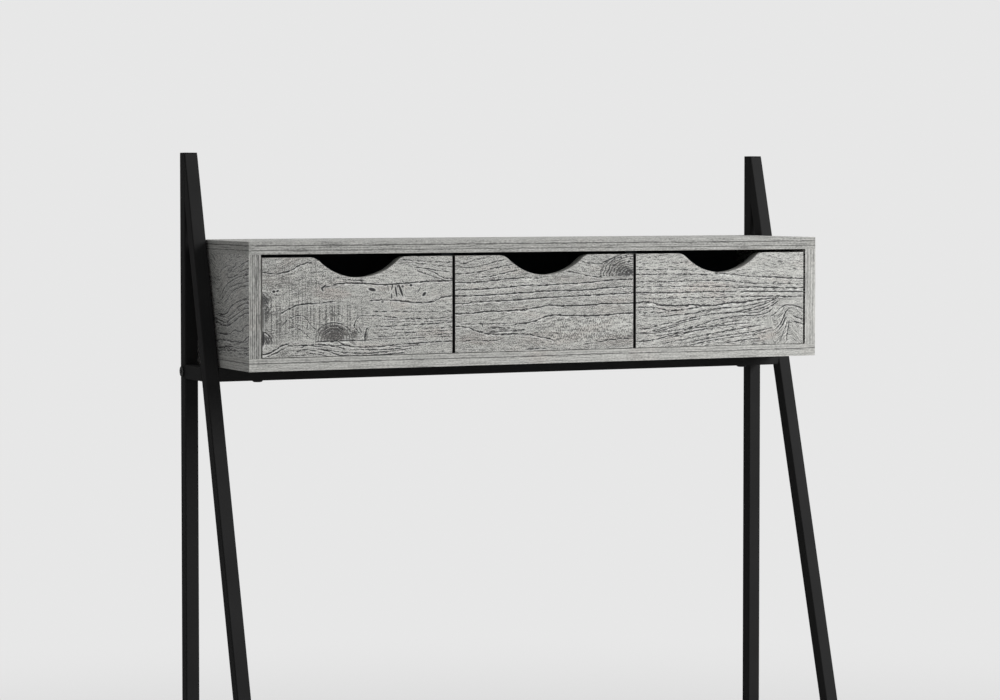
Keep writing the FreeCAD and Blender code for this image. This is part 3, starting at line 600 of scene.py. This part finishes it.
rightFront = {
    "corner": (149.4, 1338.8),
    "seed": 31.0,
    "level": 0.12,
    "veins": 0.85,
    "pores": 0.85,
    "gapShadeSides": (0.94, 0.94),
    "lines": [
        (0.9, 0.65, 0.55, [(-8, 125.9), (25, 124.6), (47, 125.8), (81, 124.6)]),
        (0.9, 0.65, 0.5, [(-8, 115.1), (85, 114.7), (108, 113.9)]),
        (1, 0.79, 0.35, [(-8, 107.7), (117, 106.8), (131, 105.7)]),
        (1.1, 0.89, 0.2, [(133, 108.6), (149, 107.8), (200, 102.6), (219, 102), (297.6, 97.8)]),
        (1, 0.73, 0.4, [(-8, 97.9), (36, 97), (131, 97.7), (163, 96.3), (207, 91.7), (231, 91.8),
            (297.6, 89.6)]),
        (0.9, 0.73, 0.45, [(-8, 89.7), (138, 88.7), (172, 87.2)]),
        (1.3, 0.95, 0.1, [(173, 86.6), (207, 86.7), (242, 85.2), (297.6, 84.5)]),
        (1, 0.84, 0.25, [(-8, 81.3), (47, 80.6), (131, 80.9), (172, 80.3)]),
        (1.2, 0.95, 0.1, [(179, 80.2), (214, 80), (297.6, 78.1)]),
        (0.9, 0.68, 0.45, [(13, 72.9), (47, 72), (87, 72.7), (138, 71.9), (168, 72.4)]),
        (1.1, 0.89, 0.15, [(176, 72.6), (207, 72.7), (297.6, 71)]),
        (1.8, 0.97, 0.15, [(-8, 65.3), (28, 66.4), (36, 63.5), (55, 61.4), (80, 61), (99, 62), (112, 59.8),
            (167, 64), (184, 64.2), (195, 66), (244, 70.3)]),
        (1.1, 0.89, 0.25, [(4, 59.4), (31, 58.9), (44, 56.3), (60, 54.1), (80, 55.1), (110, 58.7)]),
        (1, 0.73, 0.35, [(4, 52.6), (24, 51.2), (67, 53.4)]),
        (1.1, 0.79, 0.3, [(42, 45), (64, 46.5), (126, 52.3), (144, 54.9), (184, 58.2), (207, 61.8),
            (230, 66.4), (247, 70.7)]),
        (1.2, 0.89, 0.25, [(67, 35.7), (112, 45.2), (130, 47.6), (170, 49.5), (183, 49.6), (195, 47.8),
            (209, 48.8), (221, 52.5), (233, 57.7), (246, 66.1)]),
        (1, 0.73, 0.35, [(4, 27.6), (17, 27.9), (46, 34.1), (64, 36.3)]),
        (1, 0.79, 0.3, [(15, 20.1), (35, 21.6), (103, 30), (130, 37.4), (158, 41.8), (186, 43.8),
            (209, 44.6), (225, 47.5), (237, 55.2)]),
        (1, 0.84, 0.3, [(35, 16.8), (57, 19.2), (75, 21.9), (98, 27.2), (126, 29.5), (172, 36.5),
            (195, 37.7)]),
        (1, 0.84, 0.25, [(-8, 10.3), (24, 10.2), (48, 15.1), (91, 22), (144, 26.8)]),
        (0.9, 0.68, 0.35, [(41, 4.9), (69, 8.7), (96, 13.4), (158, 20.9), (186, 26.3)]),
        (0.9, 0.68, 0.35, [(84, -0.1), (112, 5.2), (167, 12.4), (218, 17.6), (237, 22.2)]),
        (1.2, 0.85, 0.1, [(232, 42.3), (242, 48.1), (249, 54), (258, 58.1), (271, 58.2), (281, 55.5),
            (297.6, 50.3)]),
        (1.3, 0.89, 0.25, [(272, 33.5), (279, 32), (297.6, 26.2)]),
        (1, 0.8, 0.2, [(271, 42.6), (279, 39.4), (297.6, 34.2)]),
        (1, 0.9, 0.12, [(150, 47), (207, 57), (245, 70)]),
        (0.9, 0.88, 0.15, [(185, 50), (207, 53), (225, 58), (243, 68)]),
        (0.9, 0.85, 0.25, [(100, 8), (165, 16), (205, 20), (235, 25)]),
        (0.9, 0.85, 0.25, [(150, 3), (180, 7), (215, 10)]),
        (0.9, 0.88, 0.25, [(60, 14), (125, 27), (160, 31), (195, 33)]),
        (0.9, 0.88, 0.25, [(120, 17), (185, 26), (215, 29)]),
        (0.9, 0.85, 0.3, [(20, 22), (85, 37), (110, 41)]),
        (0.8, 0.85, 0.3, [(100, 50), (130, 55), (165, 57)]),
        (0.9, 0.88, 0.2, [(-8, 22), (20, 22), (48, 26), (75, 33)]),
    ],
    "steepLines": [
        (1.6, 1, 0.08, [(17.6, 218), (20.8, 237), (26.1, 245), (34.9, 252), (44.9, 257), (51.8, 262),
            (54.7, 269)]),
        (1.4, 0.95, 0.1, [(17.2, 240), (22, 247), (28.9, 253), (36.8, 257), (42.7, 263)]),
        (1.2, 0.9, 0.2, [(5, 248), (24.8, 258), (34.7, 262)]),
        (1.2, 0.9, 0.2, [(3.7, 260), (12.7, 261), (34.7, 265)]),
    ],
    "guides": [
        (10, [(0, 0), (72, 9), (144, 17), (289, 30)]),
        (20, [(0, 0), (80, 8), (158, 22), (209, 25), (237, 35), (289, 36)]),
        (45, [(0, -2), (42, 0), (144, 10), (207, 16), (247, 20.5), (289, 20)]),
        (62, [(0, 0), (36, -2), (80, -4), (149, -2.5), (219, 5), (244, 7), (289, 7)]),
        (81, [(0, 0), (179, -1), (289, -3)]), (98, [(0, 0), (131, 0), (184, -4), (289, -8)]),
        (115, [(0, 0), (133, 0), (289, -9)]),
    ],
    # Nested arches in the lower right corner: (u, v, rise, width, u where they begin, highest v)
    "arches": (266, 0, 30, 18.7, 232, 60),
    "spots": [
        (46, 45.5, 1.5, 1.2, 0, 0.8), (211, 98, 1.2, 1, 0, 0.8), (213, 72.4, 1.3, 1, 0, 0.8),
    ],
    "patches": [
        (125, 88, 50, 9, 0, -0.05, 0.45), (60, 55, 30, 8, 0, 0, 0.3), (252, 66, 24, 5, 15, -0.3, 0),
        (246, 30, 6, 22, -30, -0.22, 0), (180, 45, 30, 6, 5, -0.16, 0),
        (30, 64, 34, 3, 0, -0.22, 0.1), (263, 20, 8, 24, 0, 0.22, 0), (225, 15, 25, 10, 20, 0, 0.35),
        (250, 44, 8, 10, -30, 0.2, 0), (272, 34, 24, 34, 0, -0.12, 0),
    ],
}


marks = {
    "fade": (0.6, 1.1),  # shares of its radii between which a patch or calm area fades
    "archSoft": (8.0, 6.0),  # half widths of the arches' soft edge along u and v
    "sawStripe": (0.54, 0.66),
    "sawWorn": (0.38, 0.54),
    "sawTone": 1.5,
    "ragged": 0.7,  # how far a patch's outline wanders, in shares of its radii
    "mottled": (0.48, 0.58),
    "mottledBelow": -0.5,  # a patch darker than this is mottled with black too
    "knotRagged": 0.22,  # share of that for a knot
    "knotEdge": (1.0, 1.12),
    "knotFloor": 0.6,  # half the height over which a knot is cut off at its lowest v
    "ringInk": (0.0, 0.8),
    "ringBreaks": (0.25, 0.5),
    "rimHalf": 0.05,
    "rimBreaks": (0.38, 0.5),
    "rimInk": 0.7,
    "spotRagged": 0.4,  # and for a hole
    "spotEdge": (0.9, 1.5),
    # Painted highlight round a hole: where it fades, and its share of the hole's ink
    "highlightEdge": (1.4, 2.2),
    "highlightShare": 0.6,
}


# Nested arches: rise = level - height * d^2 / (d^2 + width^2), d being the distance along u from the centre.
def archedRise(across, up, rise, arches):
    centre, level, height, width, start, top = arches
    softU, softV = marks["archSoft"]
    reach = (across - centre).squared()
    arch = level - height * (reach / (reach + width * width))
    share = across.ramp(start - softU, start + softU) * up.ramp(top - softV, top + softV, 1.0, 0.0)
    return rise + (arch - rise) * share


# Tone with upright saw marks: fine stripes along v, worn away in specks.
def sawn(tone, across, up, place, seed, areas):
    for u, v, wide, tall, strength in areas:
        share = ellipse(place, (u, v), (wide, tall)).squared().bell()
        stripe = blots("sawStripe", across, up, seed).ramp(*marks["sawStripe"])
        worn = blots("sawWorn", across, up, seed).ramp(*marks["sawWorn"])
        tone = tone - stripe * worn * share * (marks["sawTone"] * strength)
    return tone


# Ink with the rings of knots: sine of the distance from the centre, and a thin rim.
def ringed(ink, up, place, ragged, breaks, knots):
    cut = marks["knotFloor"]
    for u, v, wide, tall, lowest, count, strength in knots:
        reach = ellipse(place, (u, v), (wide, tall)) + ragged * marks["knotRagged"]
        wave = (reach * (2.0 * math.pi * count)).step("SINE")
        share = reach.ramp(*marks["knotEdge"], 1.0, 0.0) * up.ramp(lowest - cut, lowest + cut)
        ring = wave.ramp(*marks["ringInk"]) * share * breaks.ramp(*marks["ringBreaks"])
        ink = ink.atLeast(ring * strength)
        rim = (reach - 1.0).size().ramp(0.0, marks["rimHalf"], 1.0, 0.0) * up.ramp(lowest - cut, lowest + cut)
        ink = ink.atLeast(rim * breaks.ramp(*marks["rimBreaks"]) * marks["rimInk"])
    return ink


def frontMaterial(name, front):
    material, tree, shader = newLaminate(name, "upright")
    x, y, z = position(tree)
    turn = facing(tree)
    seed = front["seed"]
    left, bottom = front["corner"]
    across = x - left
    up = z - bottom
    place = joined(tree, across, up, 0.0)

    rise = grainRise(across, up, front["guides"])
    if "arches" in front:
        rise = archedRise(across, up, rise, front["arches"])
    plain = grainTexture(across, up - rise, seed, front["veins"], front["pores"])
    ink = plain["ink"]
    tone = plain["tone"] + front["level"]
    full, gone = marks["fade"]
    for u, v, wide, tall, faint in front.get("calm", ()):
        ink = ink * (1.0 - ellipse(place, (u, v), (wide, tall)).ramp(full, gone, faint, 0.0))

    grit = lineGrit(across, up, seed)
    drawn = drawLines(across, up, front["lines"], grit)
    if "steepLines" in front:
        drawn = drawLines(up, across, front["steepLines"], grit, drawn)
    tone = sawn(tone, across, up, place, seed, front.get("saw", ()))

    warm = warmth("frontCloud", across, up, seed)
    ragged = (blots("ragged", across, up, seed) - 0.5) * marks["ragged"]
    mottle = blots("mottle", across, up, seed).ramp(*marks["mottled"])
    for u, v, wide, tall, angle, shade, pink in front["patches"]:
        share = (ellipse(place, (u, v), (wide, tall), angle) + ragged).ramp(full, gone, 1.0, 0.0)
        tone = tone + share * shade
        warm = warm + share * pink
        if shade < marks["mottledBelow"]:
            ink = ink.atLeast(mottle * share * min(1.0, -shade))
    ink = ringed(ink, up, place, ragged, grit["breaks"], front.get("rings", ()))

    ink = ink.atLeast(drawn)
    # Painted highlight beside the drawn lines and round the holes
    highlight = drawn * -1.0
    for u, v, wide, tall, angle, strength in front["spots"]:
        reach = ellipse(place, (u, v), (wide, tall), angle) + ragged * marks["spotRagged"]
        ink = ink.atLeast(reach.ramp(*marks["spotEdge"], strength, 0.0))
        highlight = highlight.atLeast(reach.ramp(*marks["highlightEdge"], marks["highlightShare"] * strength, 0.0))

    edgeAlong = x * turn[zAxis] + z * (1.0 - turn[zAxis])
    edge = edgeBand(edgeAlong, y, seed, frontEdges["lines"], frontEdges["level"])
    # Painted shade on the side edges, standing in for the dark gaps between the fronts.
    gapShade = across.ramp(*frontEdges["gapShadeFrom"], *front["gapShadeSides"])
    gapShade = gapShade * turn[xAxis].ramp(*frontEdges["gapShadeFacing"])
    edge["ink"] = edge["ink"].atLeast(gapShade)
    share = onFace(turn[yAxis])
    mixed = faceOrEdge(share, {"ink": ink, "tone": tone}, edge)
    finishLaminate(tree, shader, mixed, warm, plain["relief"], highlight * share)
    return material


for side, front in (("left", leftFront), ("middle", middleFront), ("right", rightFront)):
    paint(frontMaterial(f"{side}_front_laminate", front), f"{side}_drawer_front")
print("drawer fronts painted")


# Box sides: u runs from the front edge to the wall, v up from the lower edge

boxSide = {
    "corner": (18.0, 1338.0),
    "seed": 47.0,
    "lines": [
        (0.9, 0.5, 0.3, [(69, 126.7), (79, 127), (89, 125.8), (114, 116.7)]),
        (1, 0.7, 0.2, [(41, 116.8), (61, 112), (71, 110.7), (84, 110.9)]),
        (1, 0.75, 0.2, [(46, 131.7), (56, 126.6), (69, 123.9)]),
        (1, 0.75, 0.2, [(-8, 137.1), (27, 130), (39, 125.6)]), (1, 0.75, 0.2, [(-8, 127.4), (37, 118.7)]),
        (1.2, 0.9, 0.1, [(-8, 117.9), (81, 102.1), (94, 96.1), (104, 88.7), (117, 80.5)]),
        (1, 0.75, 0.25, [(-8, 109), (22, 105.2), (62, 99.9), (74, 96.7), (86, 91.4), (97, 84),
            (109, 78)]),
        (1, 0.7, 0.35, [(-8, 102.2), (52, 94.6), (64, 90.7), (77, 84.7), (87, 78), (99, 74.1)]),
        (0.9, 0.5, 0.4, [(97, 74.2), (107, 73.5), (124, 73.9), (137, 77.7)]),
        (1.3, 0.9, 0.1, [(-8, 82.5), (18, 81.8), (62, 72.6), (72, 68.7), (79, 63.5), (89, 59.6),
            (122, 59.1)]),
        (1.1, 0.8, 0.2, [(-8, 77), (13, 76.9), (28, 73.8), (42, 69.8), (82, 55.3), (99, 54.6),
            (128, 57.4)]),
        (1.2, 0.85, 0.15, [(-8, 68.4), (11, 69.6), (42, 61.5), (72, 52.6), (84, 48.2), (99, 47.5),
            (117, 50.1), (135, 51.5)]),
        (1.3, 0.9, 0.15, [(-8, 61.8), (8, 63.1), (18, 61.7), (87, 42.8), (102, 42.6), (117, 45.1),
            (132, 46.6)]),
        (1.1, 0.8, 0.15, [(-8, 45.2), (11, 46.1), (23, 40.7), (35, 36.7), (47, 37.6), (60, 36.6),
            (72, 32.3), (87, 30.9), (107, 30.7), (125, 31.3)]),
        (1.1, 0.85, 0.15, [(-8, 32.2), (11, 28.1), (21, 23.5), (31, 21.9), (43, 22.4), (62, 21.9),
            (102, 22.4), (125, 21.3)]),
        (0.9, 0.6, 0.3, [(-8, 28.3), (18, 22.6), (33, 20.5), (57, 20.3), (82, 21.5)]),
        (1.1, 0.8, 0.2, [(-8, 19.1), (14, 14.1), (21, 14.5), (43, 12.7), (53, 13.6), (90, 13.1),
            (100, 11.2), (123, 10.8)]),
        (1, 0.75, 0.25, [(-8, 13.1), (28, 9.9), (102, 7.6), (123, 5.8)]),
        (0.9, 0.7, 0.25, [(-8, 9.4), (33, 6.2), (45, 6.3)]), (0.9, 0.7, 0.25, [(-8, 6.2), (43, 4)]),
    ],
    "guides": [
        (8, [(0, 4), (48, 0), (123, -3), (216, 0)]), (22, [(0, 8), (21, 1), (43, 0), (216, 0)]),
        (40, [(0, 5), (11, 6), (35, -3), (60, -3), (87, -9), (125, -9), (216, -2)]),
        (60, [(0, 2), (8, 3), (52, -8), (87, -17), (132, -13), (216, -8)]),
        (75, [(0, 7), (42, 0), (79, -12), (122, -16), (216, -10)]),
        (115, [(0, 3), (52, -8), (94, -19), (117, -35), (160, -20), (216, -24)]),
    ],
    # The grain flows round a knot: (u, v, radius, radius, rise)
    "knots": [(180, 96, 30, 16, 18), (165, 30, 26, 12, 10)],
    "veins": 0.7,
    "pores": 0.9,
}

# low is the lower X of the board, from which its edge lines are measured
leftSide = {
    "low": -459.5,
    "edgeLevel": 0.5,
    "edgeLines": [(2.0, 0.35, 0.55), (5.0, 0.4, 0.8), (8.5, 0.35, 0.6), (11.4, 0.45, 0.85), (13.8, 0.4, 0.8),
                  (16.2, 0.35, 0.6)],
}

rightSide = {
    "low": 441.5,
    "edgeLevel": 0.72,
    "edgeLines": [(3.5, 0.5, 0.5), (9.0, 0.5, 0.5), (14.0, 0.5, 0.6)],
}


# Flow of the grain round knots, each a bell-shaped rise.
def roundKnots(flow, place, knots):
    for u, v, wide, tall, rise in knots:
        flow = flow + ellipse(place, (u, v), (wide, tall)).squared().bell() * rise
    return flow


def sideMaterial(name, side):
    material, tree, shader = newLaminate(name, "upright")
    x, y, z = position(tree)
    turn = facing(tree)
    seed = boxSide["seed"] + side["low"] / millimetres
    front, bottom = boxSide["corner"]
    across = y - front
    up = z - bottom
    place = joined(tree, across, up, 0.0)
    flow = roundKnots(up - grainRise(across, up, boxSide["guides"]), place, boxSide["knots"])
    plain = grainTexture(across, flow, seed, boxSide["veins"], boxSide["pores"])
    grit = lineGrit(across, up, seed)
    drawn = drawLines(across, up, boxSide["lines"], grit)
    ink = plain["ink"].atLeast(drawn)
    edgeAlong = y * turn[zAxis] + z * (1.0 - turn[zAxis])
    edge = edgeBand(edgeAlong, x - side["low"], seed, side["edgeLines"], side["edgeLevel"])
    share = onFace(turn[xAxis])
    mixed = faceOrEdge(share, {"ink": ink, "tone": plain["tone"]}, edge)
    warm = warmth("sideCloud", across, up, seed)
    # The last argument is a painted highlight beside the drawn lines.
    finishLaminate(tree, shader, mixed, warm, plain["relief"], drawn * share * -1.0)
    return material


paint(sideMaterial("left_side_laminate", leftSide), "box_left_side")
paint(sideMaterial("right_side_laminate", rightSide), "box_right_side")
print("box sides painted")


# Level boards: grain along X, knots that push the grain aside

levelGrain = {
    "veins": 0.85,
    "pores": 0.9,
    "sway": 60.0,  # height of the slow bends of the grain
}

# low is the lower face, from which the edge lines are measured
boxTop = {
    "low": 1482.0,
    "seed": 61.0,
    "edgeLevel": 0.52,
    "edgeLines": [(5.5, 0.5, 0.7), (12.3, 0.6, 0.75), (8.8, 0.3, 0.35)],
    "knots": [(-300, 150, 70, 20, 26), (40, 70, 90, 16, 18), (350, 190, 60, 22, 30)],
}

boxBottom = {
    "low": 1320.0,
    "seed": 73.0,
    "edgeLevel": 0.68,
    "edgeLines": [(11.2, 0.6, 0.75), (14.6, 0.3, 0.4), (3.0, 0.3, 0.3)],
    "knots": [(-180, 110, 80, 20, 24), (260, 160, 70, 18, 22)],
}

desktop = {
    "low": 727.0,
    "seed": 89.0,
    "edgeLevel": 0.62,
    "edgeLines": [(5.0, 0.5, 0.65), (11.8, 0.6, 0.7), (15.2, 0.3, 0.4)],
    "knots": [(-310, 60, 80, 26, 34), (-60, -120, 100, 24, 26), (210, 120, 70, 28, 38),
              (360, -70, 90, 22, 26)],
}


def boardMaterial(name, board):
    material, tree, shader = newLaminate(name, "level")
    x, y, z = position(tree)
    turn = facing(tree)
    seed = board["seed"]
    place = joined(tree, x, y, 0.0)
    swayed = y + (blots("sway", x, y, seed) - 0.5) * levelGrain["sway"]
    flow = roundKnots(swayed, place, board["knots"])
    plain = grainTexture(x, flow, seed, levelGrain["veins"], levelGrain["pores"])
    edgeAlong = x * turn[yAxis] + y * (1.0 - turn[yAxis])
    edge = edgeBand(edgeAlong, z - board["low"], seed, board["edgeLines"], board["edgeLevel"])
    mixed = faceOrEdge(onFace(turn[zAxis]), plain, edge)
    warm = warmth("levelCloud", x, y, seed)
    finishLaminate(tree, shader, mixed, warm, plain["relief"])
    return material


for name, board in (("box_top", boxTop), ("box_bottom", boxBottom), ("desktop", desktop)):
    paint(boardMaterial(f"{name}_laminate", board), name)
print("level boards painted")


# Eased edges on the laminate boards

easedBoards = {
    "ends": ("desktop", "box_top", "box_bottom", "box_left_side", "box_right_side", "drawer_front"),
    "width": 0.00025,
    "segments": 2,
    "angle": 40.0,  # degrees past which an edge is eased
    "seam": 0.00001,  # vertices nearer than this are one
}


def easeEdges(name):
    weld = nodes[name].modifiers.new("weld", "WELD")
    weld.merge_threshold = easedBoards["seam"]
    bevel = nodes[name].modifiers.new("eased_edge", "BEVEL")
    bevel.width = easedBoards["width"]
    bevel.segments = easedBoards["segments"]
    bevel.limit_method = "ANGLE"
    bevel.angle_limit = math.radians(easedBoards["angle"])


for name in nodes:
    if name.endswith(easedBoards["ends"]):
        easeEdges(name)
print("edges eased")


# Frame, fittings and inner parts

# (colour, roughness, specular, strength of the fine relief, size of its bumps, names of pieces or their ends)
finishes = {
    "powder_coat": ((0.026, 0.026, 0.0262), 0.6, 0.008, 0.3, 1.2, ("_post", "_leg", "_rail", "_arm", "_bar")),
    "moulded_black": ((0.018, 0.018, 0.0185), 0.6, 0.02, 0.2, 0.8, ("_caps", "_feet", "_inserts")),
    "black_fastener": ((0.018, 0.018, 0.0185), 0.5, 0.05, 0.1, 0.6, ("frame_bolts",)),
    "black_melamine": ((0.072, 0.080, 0.092), 0.6, 0.15, 0.3, 1.6,
                       ("_divider", "drawer_left_side", "drawer_right_side", "drawer_back")),
    "dark_hardboard": ((0.090, 0.100, 0.115), 0.75, 0.1, 0.5, 1.5, ("box_back", "drawer_bottom")),
    "runner_steel": ((0.02, 0.02, 0.021), 0.4, 0.5, 0.1, 1.0, ("_runners",)),
    "nylon": ((0.55, 0.55, 0.53), 0.45, 0.4, 0.1, 1.0, ("_rollers",)),
}

clouds = {
    "size": 70.0,
    "detail": 3.0,
    "colour": (0.8, 1.2),  # shares of the colour where a cloud is thin and where it is full
    "roughness": 0.05,  # how far a cloud changes it
    "span": (0.2, 0.8),
    "reliefDepth": 0.0001,
}


# Finish with a fine orange peel and a faint cloudiness.
def finishMaterial(name, colour, roughness, specular, relief, bumpSize):
    material, tree, shader = newMaterial(name, colour, roughness, specular)
    place = position(tree)
    cloud = noise(*(part / clouds["size"] for part in place), clouds["detail"])
    thin, full = (tuple(share * part for part in colour) for share in clouds["colour"])
    feed(tree, blendColour(cloud, thin, full), shader.inputs["Base Color"])
    change = clouds["roughness"]
    rough = cloud.ramp(*clouds["span"], roughness - change, roughness + change)
    feed(tree, rough, shader.inputs["Roughness"])
    addBump(tree, shader, noise(*(part / bumpSize for part in place)), relief, clouds["reliefDepth"])
    return material


materials = {}
for name, (*values, ends) in finishes.items():
    materials[name] = finishMaterial(name, *values)
    paint(materials[name], *(node for node in nodes if node.endswith(ends)))
print("frame, fittings and inner parts painted")


# Hold-down bolts: flat round heads under the bars, driven up into the box and the desktop

holdDownBolts = {
    "boxPlaces": [(x, y, 1.3) for x in (-0.401, 0.401) for y in (0.1375, 0.224)],
    "deskPlaces": [(x, y, 0.707) for x in (-0.401, 0.401) for y in (-0.212, 0.224)],
    # (radius, height below the bar), from the seat over the dome into the socket
    "outline": [(0.0074, -0.0002), (0.0074, 0.0008), (0.0066, 0.0019), (0.0048, 0.0025), (0.0022, 0.0026),
                (0.0021, 0.0009)],
    "sides": 32,
}


# Heads turned about -Z: point(row, angle) = place + radius(row) * (-sin, -cos, 0) - height(row) * Z.
def turnedHeads(places, outline, sides):
    radius, height = np.array(outline).T
    angle = np.linspace(0, 2 * np.pi, sides, endpoint=False)
    ring = np.stack([-np.sin(angle), -np.cos(angle), np.zeros(sides)], 1)
    shape = radius[:, None, None] * ring - height[:, None, None] * np.array([0.0, 0.0, 1.0])
    verts = (np.array(places)[:, None, None] + shape).reshape(-1, 3)
    row, side = np.mgrid[0:len(outline) - 1, 0:sides]
    after = (side + 1) % sides
    corners = [row * sides + side, row * sides + after, (row + 1) * sides + after, (row + 1) * sides + side]
    walls = np.stack(corners, -1).reshape(-1, 4)
    ends = np.stack([np.arange(sides)[::-1], (len(outline) - 1) * sides + np.arange(sides)])
    faces = []
    for first in range(0, len(verts), shape[..., 0].size):
        faces += (walls + first).tolist() + (ends + first).tolist()
    return verts.tolist(), faces


def makeHoldDownBolts():
    places = holdDownBolts["boxPlaces"] + holdDownBolts["deskPlaces"]
    verts, faces = turnedHeads(places, holdDownBolts["outline"], holdDownBolts["sides"])
    piece = addMesh("hold_down_bolts", verts, faces, materials["black_fastener"])
    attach(piece, "desk")


makeHoldDownBolts()
print("hold-down bolts made")


# Floor, light and camera

studio = {
    "background": 0.80,  # strength of the world where it is seen
    "dome": 0.24,  # and as a light
    "floorColour": 0.50,
    "floorGlow": 0.30,  # added where the floor is seen, so that it stays as pale as the background
    "floorFull": 1.6,  # radius at which it begins to fade
    "floorClear": 5.88,  # radius at which it is gone
    "floorEnd": 6.0,
    "floorSpokes": 96,
    "floorRoughness": 0.9,
}


# 1 for what is seen directly, in a reflection or through glass.
def seenDirectly(tree):
    path = tree.nodes.new("ShaderNodeLightPath")
    seen = Field(tree, path.outputs["Is Camera Ray"])
    seen = seen.atLeast(Field(tree, path.outputs["Is Glossy Ray"]))
    return seen.atLeast(Field(tree, path.outputs["Is Transmission Ray"]))


# Disc that fades out before its rim, so that no horizon shows.
def makeFloor():
    spokes = studio["floorSpokes"]
    angle = np.linspace(0, 2 * np.pi, spokes, endpoint=False)
    rim = np.stack([np.cos(angle), np.sin(angle), np.zeros(spokes)], 1) * studio["floorEnd"]
    grey = studio["floorColour"]
    material, tree, shader = newMaterial("floor", (grey, grey, grey), studio["floorRoughness"], 0.0)
    feed(tree, seenDirectly(tree) * studio["floorGlow"], shader.inputs["Emission Strength"])
    shader.inputs["Emission Color"].default_value = (1.0, 1.0, 1.0, 1.0)
    x, y = position(tree)[:2]
    reach = (x.squared() + y.squared()).step("SQRT") / millimetres
    clear = tree.nodes.new("ShaderNodeBsdfTransparent")
    mix = tree.nodes.new("ShaderNodeMixShader")
    feed(tree, reach.ramp(studio["floorFull"], studio["floorClear"]), mix.inputs[0])
    tree.links.new(shader.outputs[0], mix.inputs[1])
    tree.links.new(clear.outputs[0], mix.inputs[2])
    tree.links.new(mix.outputs[0], tree.nodes["Material Output"].inputs["Surface"])
    floor = addMesh("floor", rim.tolist(), [list(range(spokes))], material)


# Pale to the camera and in reflections, a plain dim dome for everything else.
def makeWorld():
    world = bpy.data.worlds.new("studio")
    bpy.context.scene.world = world
    world.use_nodes = True
    tree = world.node_tree
    background = tree.nodes["Background"]
    strength = seenDirectly(tree) * (studio["background"] - studio["dome"]) + studio["dome"]
    background.inputs["Color"].default_value = (1.0, 1.0, 1.0, 1.0)
    feed(tree, strength, background.inputs["Strength"])


def makeLamp(name, place, target, size, watts):
    lamp = bpy.data.lights.new(name, "AREA")
    lamp.shape = "DISK"
    lamp.size = size
    lamp.energy = watts
    holder = addObject(name, lamp)
    holder.location = place
    aim = np.array(target) - np.array(place)
    holder.rotation_euler = Euler((math.atan2(math.hypot(aim[0], aim[1]), -aim[2]), 0,
                                   math.atan2(aim[1], aim[0]) - math.pi / 2))


# (place, target, size, watts)
lamps = {
    "key": ((3.3, -2.4, 3.3), (0.0, 0.1, 1.1), 2.8, 235.0),
    "over": ((0.2, 0.0, 4.6), (0.0, 0.0, 0.0), 3.0, 18.0),
}

makeFloor()
makeWorld()
for name, values in lamps.items():
    makeLamp(name, *values)

view = {
    "place": (-1.8454, -3.6042, 1.5684),
    "yaw": 26.056,  # degrees to the right of +Y
    "pitch": 2.204,  # degrees downward
    "lens": 101.01,
    "sensor": 36.0,
    "shift": -0.05,
}


def makeCamera():
    camera = bpy.data.cameras.new("camera")
    camera.lens = view["lens"]
    camera.sensor_width = view["sensor"]
    camera.shift_y = view["shift"]
    holder = addObject("camera", camera)
    holder.location = view["place"]
    holder.rotation_euler = Euler((math.radians(90 - view["pitch"]), 0, -math.radians(view["yaw"])))
    bpy.context.scene.camera = holder


makeCamera()
bpy.context.scene.view_settings.view_transform = "Standard"
print("studio ready")
